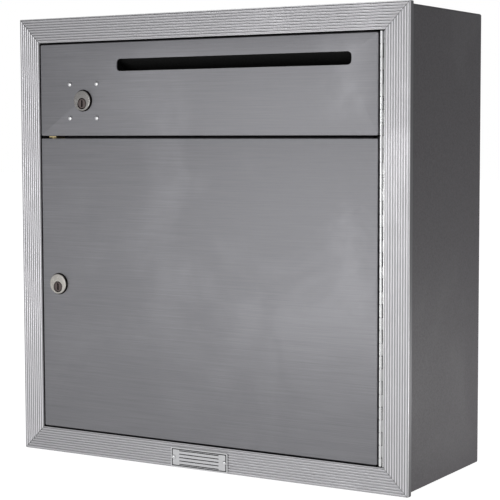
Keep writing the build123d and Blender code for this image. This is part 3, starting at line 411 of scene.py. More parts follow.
def brushed_finish(name, colour, roughness, stretch, contrast=1.0, relief=0.25, tone=0.16,
                   haze_scale=9.0, specks=0.0, valleys=None, foot=None, valley_shade=0.8):
    """Metal with streaks along one direction, soft handling haze, a few specks, and painted
    shade in its valleys and round its foot."""
    material, tree, shader, place = new_finish(name, metallic=1.0)
    grain = effect(tree, "Drawn Grain", {"Vector": place, "Stretch": stretch, "Contrast": contrast})
    haze = haze_mask(tree, place, haze_scale)
    drawn = blend_colours(tree, grain["Streaks"], shade(colour, 1 - tone), shade(colour, 1 + tone))
    worn_and_shaded = blend_colours(tree, haze * 0.12, drawn, shade(colour, 0.7))
    if specks:
        grit = effect(tree, "Grit", {"Vector": place, "Scale": 420.0, "Size": 0.12})["Specks"]
        worn_and_shaded = blend_colours(tree, grit * specks, worn_and_shaded, shade(colour, 0.45))
    # Painted shade: the valleys and the foot grow darker with depth.
    for depths, darkest in ((valleys, valley_shade), (foot, 0.15)):
        if depths:
            mask = depth_shade_mask(tree, place, *depths)
            worn_and_shaded = blend_colours(tree, mask, worn_and_shaded, shade(colour, darkest))
    streaked = ranged(tree, grain["Streaks"], 0.0, 1.0, roughness - 0.06, roughness + 0.06)
    dress(tree, shader, worn_and_shaded, streaked + haze * 0.07, grain["Height"], relief, 0.0001)
    return material


def coated_finish(name, colour, roughness, wear, half_size, middle):
    """Satin powder coat with a fine peel, dusty clouds and rubbed edges."""
    material, tree, shader, place = new_finish(name, specular_ior_level=0.5)
    peel = effect(tree, "Grit", {"Vector": place, "Scale": 700.0, "Size": 0.25})
    haze = haze_mask(tree, place, 7.0, 0.6)
    rub = effect(tree, "Edge Rub", {"Vector": place, "Middle": middle, "Half Size": half_size,
                                    "Reach": 0.0022})["Rub"] * wear
    dusty = blend_colours(tree, haze * 0.3, shade(colour), shade(colour, 1.22))
    speckled = blend_colours(tree, peel["Specks"] * 0.3, dusty, shade(colour, 1.5))
    mottle = ranged(tree, peel["Height"], 0.3, 0.7)
    mottled = blend_colours(tree, mottle * 0.9, speckled, shade(colour, 0.55))
    rubbed = blend_colours(tree, rub, mottled, (0.32, 0.32, 0.33, 1.0))
    connect(tree, rub, shader.inputs["Metallic"])
    dress(tree, shader, rubbed, haze * 0.1 + roughness, peel["Height"], 0.35, 0.00012)
    return material


def plated_finish(name, colour, roughness, scuff=0.3, painted_shade=None):
    """Bright plating with fine scuffs, small pits, a little tarnish, and painted shade round its foot."""
    material, tree, shader, place = new_finish(name, metallic=1.0)
    haze = haze_mask(tree, place, 260.0, 0.6)
    pits = effect(tree, "Grit", {"Vector": place, "Scale": 1500.0, "Size": 0.16})
    aged = blend_colours(tree, haze * scuff, shade(colour), shade(colour, 0.72))
    worn_and_shaded = blend_colours(tree, pits["Specks"] * 0.35, aged, shade(colour, 0.4))
    # Painted shade, near black, behind the given depth.
    if painted_shade:
        worn_and_shaded = blend_colours(tree, depth_shade_mask(tree, place, *painted_shade), worn_and_shaded, shade(colour, 0.03))
    dress(tree, shader, worn_and_shaded, haze * 0.14 + roughness, pits["Height"], 0.12, 0.00005)
    return material


def rubber_finish(name, colour):
    """Moulded rubber or black paint with a dusty bloom."""
    material, tree, shader, place = new_finish(name, specular_ior_level=0.35)
    bloom = haze_mask(tree, place, 300.0)
    grit = effect(tree, "Grit", {"Vector": place, "Scale": 2500.0, "Size": 0.3})
    dusted = blend_colours(tree, bloom * 0.5, shade(colour), shade(colour, 2.2))
    dress(tree, shader, dusted, bloom * 0.2 + 0.62, grit["Height"], 0.4, 0.00005)
    return material


FINISHES = {}


def finish(name, maker, *values, **more):
    """The named finish, made when it is first asked for."""
    if name not in FINISHES:
        FINISHES[name] = maker(name, *values, **more)
    return FINISHES[name]


def coat_nodes(material, *names):
    """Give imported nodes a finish."""
    for name in names:
        for slot in frame["nodes"][name].material_slots:
            slot.material = material


# Grain that runs along an axis, and how much darker the level trim bars are than the uprights:
# painted shade, as all four bars are the same extrusion.
ALONG_X = (18.0, 1500.0, 1500.0)
ALONG_Z = (1500.0, 1500.0, 18.0)
LEVEL_PAINTED_SHADE = 0.72


def steel_finish():
    """Zinc-plated steel of the works behind the doors."""
    return finish("zinc_plated_steel", brushed_finish, (0.50, 0.50, 0.49), 0.38,
                  (260.0, 260.0, 260.0), contrast=1.4, tone=0.2, haze_scale=60.0, specks=0.5)


def rivet_finish():
    """Bright aluminium rivets."""
    return finish("bright_rivet", plated_finish, (0.82, 0.82, 0.83), 0.2, 0.25)


# ---- Mesh helpers ------------------------------------------------------------------------------
def circle(x, z, radius, y, steps=CIRCLE_STEPS):
    """Points round an axis along Y."""
    return [Vector((x + radius * math.sin(2 * math.pi * i / steps), y,
                    z + radius * math.cos(2 * math.pi * i / steps))) for i in range(steps)]


def rounded_rectangle(x_range, z_range, radius, y, steps=CORNER_STEPS):
    """Points round a rectangle with round corners, facing along Y."""
    points = []
    (x0, x1), (z0, z1) = x_range, z_range
    middles = ((x1 - radius, z1 - radius, 0), (x1 - radius, z0 + radius, 1),
               (x0 + radius, z0 + radius, 2), (x0 + radius, z1 - radius, 3))
    for x, z, quarter in middles:
        for i in range(steps + 1):
            angle = math.pi / 2 * (quarter + i / steps)
            points.append(Vector((x + radius * math.sin(angle), y, z + radius * math.cos(angle))))
    return points


def inset_rectangle(low, high, inset, radius, y):
    """A rounded rectangle drawn in from a box's outline."""
    return rounded_rectangle((low.x + inset, high.x - inset),
                             (low.z + inset, high.z - inset), radius, y)


def quarter_round(ease):
    """Steps round a quarter bend: how far each is drawn in, and how far back."""
    turns = (math.radians(90 * i / 6) for i in range(7))
    return [(ease * (1 - math.sin(a)), ease * (1 - math.cos(a))) for a in turns]


def put_at(outlines):
    """Outlines (points, depth) laid at their depths."""
    return [[Vector((p.x, y, p.z)) for p in points] for points, y in outlines]


def add_loop(mesh, points):
    """New vertices joined in a closed loop."""
    verts = [mesh.verts.new(p) for p in points]
    for i, vert in enumerate(verts):
        mesh.edges.new((verts[i - 1], vert))
    return verts


def bridge(mesh, first, second):
    """Quads between two loops of the same count."""
    for i in range(len(first)):
        mesh.faces.new((first[i - 1], first[i], second[i], second[i - 1]))


def loft(mesh, rings):
    """A wall through several loops of points; returns its first and last loops."""
    loops = [add_loop(mesh, ring) for ring in rings]
    for first, second in zip(loops, loops[1:]):
        bridge(mesh, first, second)
    return loops[0], loops[-1]


def cap(mesh, *loops):
    """Close the space between an outer loop and any holes in it."""
    edges = [mesh.edges.get((loop[i - 1], loop[i])) for loop in loops for i in range(len(loop))]
    bmesh.ops.triangle_fill(mesh, use_beauty=True, use_dissolve=False, edges=edges)


def add_slab(mesh, low, high, bevel=0.0):
    """A box between two corners, with its edges eased."""
    made = bmesh.ops.create_cube(mesh, size=1.0)["verts"]
    middle, size = (Vector(low) + Vector(high)) / 2, Vector(high) - Vector(low)
    for vert in made:
        vert.co = middle + Vector(a * b for a, b in zip(vert.co, size))
    if bevel:
        edges = {edge for vert in made for edge in vert.link_edges}
        bmesh.ops.bevel(mesh, geom=list(edges), offset=bevel, segments=2, affect="EDGES",
                        profile=0.5)


def publish(name, mesh, body, material, nodes=(), smooth=35.0):
    """Turn a finished bmesh or mesh into a piece that rides on a body."""
    if isinstance(mesh, bmesh.types.BMesh):
        shell, data = mesh, bpy.data.meshes.new(name)
    else:
        shell, data = bmesh.new(), mesh
        shell.from_mesh(data)
        data.name = name
    bmesh.ops.remove_doubles(shell, verts=shell.verts, dist=1e-7)
    bmesh.ops.recalc_face_normals(shell, faces=shell.faces)
    shell.to_mesh(data)
    shell.free()
    data.materials.clear()
    data.materials.append(material)
    data.shade_smooth()
    data.set_sharp_from_angle(angle=math.radians(smooth))
    piece = bpy.data.objects.new(name, data)
    bpy.context.scene.collection.objects.link(piece)
    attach(piece, body)
    if nodes:
        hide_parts(*nodes)
    return piece


def grow(name, base, tree, values):
    """Run a geometry tree on a base bmesh and return what it makes as a plain mesh."""
    data = bpy.data.meshes.new(name)
    base.to_mesh(data)
    base.free()
    maker = bpy.data.objects.new(name, data)
    bpy.context.scene.collection.objects.link(maker)
    modifier = maker.modifiers.new("Tree", "NODES")
    modifier.node_group = tree
    for item in tree.interface.items_tree:
        if item.item_type == "SOCKET" and item.in_out == "INPUT" and item.name in values:
            modifier[item.identifier] = values[item.name]
    depsgraph = bpy.context.evaluated_depsgraph_get()
    made = bpy.data.meshes.new_from_object(maker.evaluated_get(depsgraph), depsgraph=depsgraph)
    maker.modifiers.remove(modifier)
    bpy.data.objects.remove(maker)
    bpy.data.meshes.remove(data)
    return made


def points_mesh(points):
    """A bmesh of loose points."""
    mesh = bmesh.new()
    for point in points:
        mesh.verts.new(point)
    return mesh


def join(*meshes):
    """One bmesh of several meshes, which are used up."""
    whole = bmesh.new()
    for mesh in meshes:
        if isinstance(mesh, bmesh.types.BMesh):
            part = bpy.data.meshes.new("part")
            mesh.to_mesh(part)
            mesh.free()
        else:
            part = mesh
        whole.from_mesh(part)
        bpy.data.meshes.remove(part)
    return whole


# ---- Geometry trees ----------------------------------------------------------------------------
def joined(tree, *parts):
    """Several geometries as one."""
    node = add_node(tree, "GeometryNodeJoinGeometry")
    for part in parts:
        connect(tree, part, node.inputs[0])
    return Reading(tree, node.outputs[0])


def merged(tree, geometry, distance):
    """A geometry with its near points made one."""
    return reading(tree, "GeometryNodeMergeByDistance",
                   {"Geometry": geometry, "Distance": distance})


def moved(tree, geometry, position):
    """A geometry with its points put at given places."""
    return reading(tree, "GeometryNodeSetPosition", {"Geometry": geometry, "Position": position})


def here(tree):
    """The three numbers of each point's place."""
    return axes(tree, reading(tree, "GeometryNodeInputPosition"))


def draw_section(tree, outline, offset):
    """A closed solid: a closed outline filled and drawn out by an offset."""
    section = reading(tree, "GeometryNodeMeshToCurve", {0: outline})
    face = reading(tree, "GeometryNodeFillCurve", {0: section}, mode="NGONS")
    drawn = reading(tree, "GeometryNodeExtrudeMesh",
                    {"Mesh": face, "Offset": offset, "Offset Scale": 1.0, "Individual": False},
                    output="Mesh", mode="FACES")
    base = reading(tree, "GeometryNodeFlipFaces", {0: face})
    return merged(tree, joined(tree, drawn, base), 1e-7)


def new_tree(name, *inputs):
    """A geometry tree with its own inputs between its base mesh and its material."""
    return new_group(name, "GeometryNodeTree",
                     [("Geometry", "Geometry"), *inputs, ("Material", "Material")],
                     [("Geometry", "Geometry")])


def close_tree(tree, end, geometry, value):
    """End a tree in plain geometry with its material."""
    real = reading(tree, "GeometryNodeRealizeInstances", {"Geometry": geometry})
    painted = reading(tree, "GeometryNodeSetMaterial",
                      {"Geometry": real, "Material": value["Material"]})
    return close_group(tree, end, {"Geometry": painted})


def ribbed_bar_tree():
    """A mitred bar: round ribs drawn along the front of a section whose back is the base mesh."""
    tree, value, end = new_tree(
        "Ribbed Bar", ("Length", "Float"), ("Ribs", "Int"), ("Pitch", "Float"),
        ("Rib Width", "Float"), ("Rise", "Float"), ("Margin", "Float"), ("Mitre Gap", "Float"))
    rise, pitch = value["Rise"], value["Pitch"]
    line = reading(tree, "GeometryNodeMeshLine", {"Count": value["Ribs"] * RIB_STEPS + 1.0},
                   mode="OFFSET")
    place = reading(tree, "GeometryNodeInputIndex") / RIB_STEPS
    half = value["Rib Width"] * 0.5
    from_crest = place.sum("FRACT") * pitch - half
    radius = (half * half + rise * rise) / (rise * 2.0)
    left = radius * radius - from_crest * from_crest
    drop = radius - left.sum("MAXIMUM").sum("SQRT")
    inset, depth = place * pitch + value["Margin"], drop.sum("MINIMUM", rise)
    ribs = moved(tree, line, point(tree, inset, depth))
    outline = merged(tree, joined(tree, ribs, value["Geometry"]), 1e-6)
    solid = draw_section(tree, outline, (0.0, 0.0, 1.0))
    x, y, z = here(tree)
    reach = value["Length"] * 0.5 - value["Mitre Gap"] - x
    bar = moved(tree, solid, point(tree, x, y, (z * 2.0 - 1.0) * reach))
    return close_tree(tree, end, bar, value)


def domed_heads_tree():
    """A low dome on a thin flat skirt at each point of the base mesh."""
    tree, value, end = new_tree("Domed Heads", ("Radius", "Float"), ("Rise", "Float"),
                                ("Skirt", "Float"), ("Turn", "Vector"))
    ball = reading(tree, "GeometryNodeMeshUVSphere",
                   {"Segments": 28, "Rings": 16, "Radius": value["Radius"]})
    x, y, z = here(tree)
    squashed = (value["Rise"] - value["Skirt"]) / value["Radius"]
    height = (z * squashed + value["Skirt"]) * z.sum("GREATER_THAN", -1e-6)
    dome = moved(tree, ball, point(tree, x, y, height))
    heads = reading(tree, "GeometryNodeInstanceOnPoints",
                    {"Points": value["Geometry"], "Instance": dome, "Rotation": value["Turn"]})
    return close_tree(tree, end, heads, value)


def repeated_section_tree():
    """The base mesh's closed section drawn along Z, repeated downwards and cut off at a height."""
    tree, value, end = new_tree("Repeated Section", ("Top", "Float"), ("Length", "Float"),
                                ("Pitch", "Float"), ("Count", "Int"), ("Lowest", "Float"))
    drawn = draw_section(tree, value["Geometry"], point(tree, z=value["Length"] * -1.0))
    places = reading(tree, "GeometryNodeMeshLine",
                     {"Count": value["Count"], "Start Location": point(tree, z=value["Top"]),
                      "Offset": point(tree, z=value["Pitch"] * -1.0)}, mode="OFFSET")
    pieces = reading(tree, "GeometryNodeInstanceOnPoints", {"Points": places, "Instance": drawn})
    real = reading(tree, "GeometryNodeRealizeInstances", {"Geometry": pieces})
    x, y, z = here(tree)
    cut = moved(tree, real, point(tree, x, y, z.sum("MAXIMUM", value["Lowest"])))
    return close_tree(tree, end, cut, value)


TREES = {}


def tree_named(name, maker):
    """A geometry tree, made when it is first asked for."""
    if name not in TREES:
        TREES[name] = maker()
    return TREES[name]


RIVET_COLOUR = (0.90, 0.90, 0.91)
FACING_FRONT = (math.radians(90), 0.0, 0.0)
FACING_BACK = (math.radians(-90), 0.0, 0.0)


def heads(name, points, radius, rise, skirt, facing, material):
    """Rivet heads at some points, as a plain mesh."""
    return grow(name, points_mesh(points), tree_named("heads", domed_heads_tree),
                {"Radius": radius, "Rise": rise, "Skirt": skirt, "Turn": facing,
                 "Material": material})


# ---- Operators ---------------------------------------------------------------------------------
# Each lamp's name, place, target, size in metres and power in watts.
LAMPS = (
    ("key_softbox", (-0.40, -1.5, 0.0), (0.17, -0.1, 0.0), (0.6, 0.7), 3.6),
    ("top_softbox", (0.2, -0.6, 2.4), (0.0, 0.0, 0.0), (2.4, 1.6), 1.5),
    ("low_fill", (0.62, 0.05, -0.19), (0.24, -0.08, -0.24), (0.5, 0.08), 0.9),
)


class DROPBOX_OT_stage(bpy.types.Operator):
    """Set up the camera, the pale floor and the soft studio light"""
    bl_idname = "dropbox.stage"
    bl_label = "Stage"

    def execute(self, context):
        """Make the camera, floor, lights and world."""
        settings = context.scene.dropbox_stage
        self.add_camera(context, settings)
        self.add_floor(context, settings)
        self.add_world(context, settings)
        for lamp in LAMPS:
            self.add_lamp(context, *lamp)
        context.scene.view_settings.view_transform = "Standard"
        return {"FINISHED"}

    def add_camera(self, context, settings):
        """A camera at the stated place, turned by yaw, pitch and roll."""
        yaw, pitch, roll = settings.yaw, settings.pitch, settings.roll
        ahead = Vector((-math.sin(yaw) * math.cos(pitch), math.cos(yaw) * math.cos(pitch),
                        -math.sin(pitch)))
        right = Vector((math.cos(yaw), math.sin(yaw), 0.0))
        up = right.cross(ahead)
        across = math.cos(roll) * right + math.sin(roll) * up
        upward = math.cos(roll) * up - math.sin(roll) * right
        camera = bpy.data.objects.new("camera", bpy.data.cameras.new("camera"))
        camera.data.lens = settings.lens
        camera.data.sensor_width = 36.0
        camera.data.sensor_fit = "HORIZONTAL"
        camera.matrix_world = (Matrix.Translation(settings.camera_place)
                               @ Matrix((across, upward, -ahead)).transposed().to_4x4())
        context.scene.collection.objects.link(camera)
        context.scene.camera = camera

    def add_floor(self, context, settings):
        """A wide floor just under the box."""
        mesh = bmesh.new()
        low = BOTTOM - 1 * MM
        corners = [mesh.verts.new((x, y, low)) for x, y in ((-9, -9), (9, -9), (9, 9), (-9, 9))]
        mesh.faces.new(corners)
        data = bpy.data.meshes.new("floor")
        mesh.to_mesh(data)
        mesh.free()
        material, tree, shader, place = new_finish("pale_floor", roughness=0.85)
        pale = blend_colours(tree, haze_mask(tree, place, 3.0) * 0.3, shade(settings.floor_colour),
                             shade(settings.floor_colour, 0.97))
        connect(tree, pale, shader.inputs["Base Color"])
        seen = reading(tree, "ShaderNodeLightPath", output="Is Camera Ray")
        glow = reading(tree, "ShaderNodeEmission", {
            "Color": pale, "Strength": seen * settings.floor_glow + settings.floor_bounce})
        both = reading(tree, "ShaderNodeAddShader", {0: shader.outputs[0], 1: glow})
        result = next(n for n in tree.nodes if n.type == "OUTPUT_MATERIAL")
        connect(tree, both, result.inputs["Surface"])
        data.materials.append(material)
        floor = bpy.data.objects.new("floor", data)
        context.scene.collection.objects.link(floor)

    def add_world(self, context, settings):
        """Even room light behind a plain white backdrop."""
        world = bpy.data.worlds.new("studio")
        world.use_nodes = True
        tree = world.node_tree
        tree.nodes.clear()
        height = axes(tree, reading(tree, "ShaderNodeTexCoord", output="Generated"))[2]
        light = ranged(tree, height, 0.0, 0.7, settings.room_light, settings.ceiling_light)
        room = reading(tree, "ShaderNodeBackground",
                       {"Color": (0.97, 0.98, 1.0, 1.0), "Strength": light})
        backdrop = reading(tree, "ShaderNodeBackground",
                           {"Color": (1.0, 1.0, 1.0, 1.0), "Strength": 1.0})
        seen = reading(tree, "ShaderNodeLightPath", output="Is Camera Ray")
        mix = reading(tree, "ShaderNodeMixShader", {0: seen, 1: room, 2: backdrop})
        add_node(tree, "ShaderNodeOutputWorld", {"Surface": mix})
        context.scene.world = world

    def add_lamp(self, context, name, place, target, size, power):
        """A soft rectangular lamp pointed at a target."""
        data = bpy.data.lights.new(name, "AREA")
        data.shape = "RECTANGLE"
        data.size, data.size_y = size
        data.energy = power
        lamp = bpy.data.objects.new(name, data)
        lamp.visible_camera = False
        away = Vector(place) - Vector(target)
        turned = away.to_track_quat("Z", "Y").to_matrix().to_4x4()
        lamp.matrix_world = Matrix.Translation(place) @ turned
        context.scene.collection.objects.link(lamp)


class DROPBOX_OT_casing(bpy.types.Operator):
    """Finish the sheet-metal box, its back, the jambs and the shelf"""
    bl_idname = "dropbox.casing"
    bl_label = "Casing"

    def execute(self, context):
        """Coat the casing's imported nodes."""
        settings = context.scene.dropbox_casing
        low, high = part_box("wrapper")
        coat = finish("dark_coat", coated_finish, tuple(settings.colour), settings.roughness,
                      settings.wear, tuple((high - low) / 2), tuple((high + low) / 2))
        coat_nodes(coat, "wrapper", "back_panel", "jamb_left", "jamb_right", "jamb_top",
                   "jamb_bottom", "divider_shelf")
        return {"FINISHED"}


class DROPBOX_OT_trim(bpy.types.Operator):
    """Build the four ribbed and mitred trim bars"""
    bl_idname = "dropbox.trim"
    bl_label = "Trim"

    def execute(self, context):
        """Draw the ribbed section along each side."""
        settings = context.scene.dropbox_trim
        height, width = TOP - BOTTOM, RIGHT - LEFT
        colour = tuple(settings.colour)
        # Painted shade in the rib valleys, darkest on the uprights, and on the lips' sides behind the front.
        valleys = [FRONT + settings.rib_rise * part for part in (0.3, 0.85, 1.05)]
        grain_and_painted_shade = {"contrast": 0.8, "relief": 0.03, "tone": 0.06, "haze_scale": 14.0,
                   "valleys": valleys, "foot": (FRONT + 1.0 * MM, FRONT + 2.4 * MM)}
        upright = finish("anodised_upright", brushed_finish, colour, settings.roughness, ALONG_Z,
                         valley_shade=0.42, **grain_and_painted_shade)
        # The level bars carry painted shade: the upright colour made darker.
        level = finish("anodised_level", brushed_finish, tuple(c * LEVEL_PAINTED_SHADE for c in colour),
                       settings.roughness, ALONG_X, **grain_and_painted_shade)
        places = {
            "trim_left": (height, (LEFT, 0), (1, 0, 0), (0, 0, 1), upright),
            "trim_right": (height, (RIGHT, 0), (-1, 0, 0), (0, 0, -1), upright),
            "trim_top": (width, (0, TOP), (0, 0, -1), (1, 0, 0), level),
            "trim_bottom": (width, (0, BOTTOM), (0, 0, 1), (-1, 0, 0), level),
        }
        for node, (span, (x, z), inward, along, material) in places.items():
            bar = grow(node, self.back_of_section(settings), tree_named("bar", ribbed_bar_tree), {
                "Length": span, "Ribs": settings.rib_count, "Pitch": settings.rib_pitch,
                "Rib Width": settings.rib_width, "Rise": settings.rib_rise,
                "Margin": self.margin(settings), "Mitre Gap": settings.mitre_gap,
                "Material": material})
            turned = Matrix((inward, (0, 1, 0), along)).transposed().to_4x4()
            bar.transform(Matrix.Translation((x, FRONT, z)) @ turned)
            publish(f"{node}_bar", bar, "cabinet", material, [node], smooth=28.0)
        return {"FINISHED"}

    def margin(self, settings):
        """Inset of the first rib's edge."""
        free = settings.width - settings.rib_count * settings.rib_pitch
        return free / 2 + (settings.rib_pitch - settings.rib_width) / 2

    def back_of_section(self, settings):
        """The section from the last rib round the lips and the key channel to the first rib."""
        start = self.margin(settings)
        finish_inset = start + settings.rib_count * settings.rib_pitch
        rise, width = settings.rib_rise, settings.width
        lip = width - 1.5 * MM
        channel = ((0, 8.0), (1.9, 6.1), (1.9, 2.5), (8.0, 2.5), (8.0, 5.0), (11.2, 5.0),
                   (11.2, 4.2), (10.0, 4.2), (10.0, 2.5), (18.0, 2.5), (18.0, 4.2), (16.8, 4.2),
                   (16.8, 5.0), (20.0, 5.0), (20.0, 2.5))
        outline = [(start, rise), (0, rise), *((x * MM, y * MM) for x, y in channel),
                   (lip, 2.5 * MM), (lip, 6.5 * MM), (width, 6.5 * MM), (width, rise),
                   (finish_inset, rise)]
        mesh = bmesh.new()
        verts = [mesh.verts.new((x, y, 0.0)) for x, y in outline]
        for first, second in zip(verts, verts[1:]):
            mesh.edges.new((first, second))
        return mesh


class DROPBOX_OT_doors(bpy.types.Operator):
    """Build the two folded door panels and finish what is fixed behind them"""
    bl_idname = "dropbox.doors"
    bl_label = "Doors"

    def execute(self, context):
        """Fold each door and cut the mail slot."""
        settings = context.scene.dropbox_doors
        sheet = finish("brushed_door", brushed_finish, tuple(settings.colour), settings.roughness,
                       ALONG_X, contrast=1.8, relief=0.35, tone=0.2, haze_scale=6.0)
        slot = inset_rectangle(*mail_slot_box(settings), 0.0, settings.slot_corner, 0.0)
        for body, cuts in (("upper_door", [slot]), ("lower_door", [])):
            node = f"{body}_panel"
            skin = self.folded_door(node, settings, cuts)
            publish(f"{body}_skin", skin, body, sheet, [node])
        coat_nodes(sheet, "door_stiffener")
        # The slot hood is coloured near black, a painted shade for the dark inside of the slot.
        coat_nodes(finish("black_inside", rubber_finish, (0.006, 0.006, 0.006)), "slot_hood")
        return {"FINISHED"}

    def folded_door(self, node, settings, cuts):
        """A pan of folded sheet with the given openings through its front."""
        low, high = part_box(node)
        high.x -= settings.hinge_gap
        bend, corner, sheet = settings.bend, settings.corner, settings.sheet
        mesh = bmesh.new()

        def outline(inset, y):
            """The door's outline, drawn in by an inset."""
            return inset_rectangle(low, high, inset, max(corner - inset, 0.1 * MM), y)

        ease = 0.2 * MM
        front, front_edge = loft(mesh, [outline(inset, low.y + back)
                                        for inset, back in quarter_round(bend)])
        rim = ((0.0, high.y - ease), (ease, high.y), (sheet - ease, high.y),
               (sheet, high.y - ease), (sheet, low.y + sheet))
        first_back, inside = loft(mesh, [outline(*step) for step in rim])
        bridge(mesh, front_edge, first_back)
        front_cuts, inside_cuts = [], []
        cut_ease = 0.4 * MM
        for cut in cuts:
            middle = sum(cut, Vector()) / len(cut)
            eased = [p + (p - middle).normalized() * cut_ease for p in cut]
            near, far = loft(mesh, put_at(((eased, low.y), (cut, low.y + cut_ease),
                                           (cut, low.y + sheet))))
            front_cuts.append(near)
            inside_cuts.append(far)
        cap(mesh, front, *front_cuts)
        cap(mesh, inside, *inside_cuts)
        return mesh


def mail_slot_box(settings):
    """The mail slot's corners: as wide as the settings say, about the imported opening's middle."""
    opening = next(o for o in frame["record"]["physics"]["openings"] if o["name"] == "mail_slot")
    middle = (Vector(opening["box_m"][0]) + Vector(opening["box_m"][1])) / 2
    half = Vector((settings.slot_width / 2, 0.0, settings.slot_height / 2))
    return middle - half, middle + half


class DROPBOX_OT_hinge(bpy.types.Operator):
    """Build the rolled leaves of the continuous hinge"""
    bl_idname = "dropbox.hinge"
    bl_label = "Hinge"

    def execute(self, context):
        """Roll each leaf's knuckles and join them to its plate."""
        settings = context.scene.dropbox_hinge
        # Painted shade on the hinge's parts behind its axis.
        steel = finish("bright_hinge", brushed_finish, tuple(settings.colour), settings.roughness,
                       (900.0, 900.0, 30.0), contrast=0.7, relief=0.02, tone=0.04, haze_scale=40.0,
                       foot=(FRONT + 2.6 * MM, FRONT + 3.4 * MM))
        coat_nodes(steel, "hinge_pin")
        coat_nodes(rivet_finish(), "frame_leaf_rivets", "upper_leaf_rivets", "lower_leaf_rivets")
        axis = next(j for j in frame["joints"] if j["name"] == "upper_door_hinge")["pos_m"]
        pin_low, pin_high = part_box("hinge_pin")
        pitch, gap = settings.knuckle, settings.gap
        upper_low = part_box("upper_door_leaf")[0].z
        split = round((pin_high.z - upper_low) / pitch)
        total = math.ceil((pin_high.z - pin_low.z) / pitch)
        leaves = (("hinge_frame_leaf", "cabinet", 1, range(0, total, 2)),
                  ("upper_door_leaf", "upper_door", -1, range(1, split, 2)),
                  ("lower_door_leaf", "lower_door", -1, range(split + 1, total, 2)))
        for node, body, side, places in leaves:
            knuckles = grow(node, self.rolled_section(settings, axis, side),
                            tree_named("section", repeated_section_tree),
                            {"Top": pin_high.z - pitch * places[0] - gap / 2,
                             "Length": pitch - gap, "Pitch": 2 * pitch, "Count": len(places),
                             "Lowest": pin_low.z + gap / 2, "Material": steel})
            plate = self.plate(node, axis)
            if node == "hinge_frame_leaf":
                self.add_bead(plate, settings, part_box(node))
            publish(f"{node}_rolled", join(knuckles, plate), body, steel, [node])
        return {"FINISHED"}

    def add_bead(self, mesh, settings, box):
        """The fixed leaf's front bead, which fills the gap beside the trim."""
        trim_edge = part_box("trim_right")[0].x
        low = (trim_edge - settings.bead, FRONT + 0.5 * MM, box[0].z)
        high = (trim_edge - 0.05 * MM, FRONT + 5.5 * MM, box[1].z)
        add_slab(mesh, low, high, 0.3 * MM)

    def rolled_section(self, settings, axis, side):
        """Section of a knuckle: the leaf's sheet rolled round the pin, open at the back."""
        inner, outer = 1.6 * MM, 2.6 * MM
        tab_front, tab_back = 0.9 * MM, 3.5 * MM
        angles = [math.radians(-4 - 8.5 * i) for i in range(35)]
        points = [(outer, tab_back), (outer, tab_front)]
        for radius, turns in ((settings.barrel, angles), (settings.bore, reversed(angles))):
            points += [(radius * math.cos(a), radius * math.sin(a)) for a in turns]
        points += [(inner, tab_front), (inner, tab_back)]
        mesh = bmesh.new()
        add_loop(mesh, [(axis[0] + side * x, axis[1] + y, 0.0) for x, y in points])
        return mesh

    def plate(self, node, axis):
        """The flat part of a leaf."""
        low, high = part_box(node)
        left, right = low.x, low.x + 1.0 * MM
        if node == "hinge_frame_leaf":
            left, right = high.x - 1.0 * MM, high.x
        mesh = bmesh.new()
        add_slab(mesh, (left, axis[1] + 2.6 * MM, low.z), (right, high.y, high.z), 0.15 * MM)
        return mesh


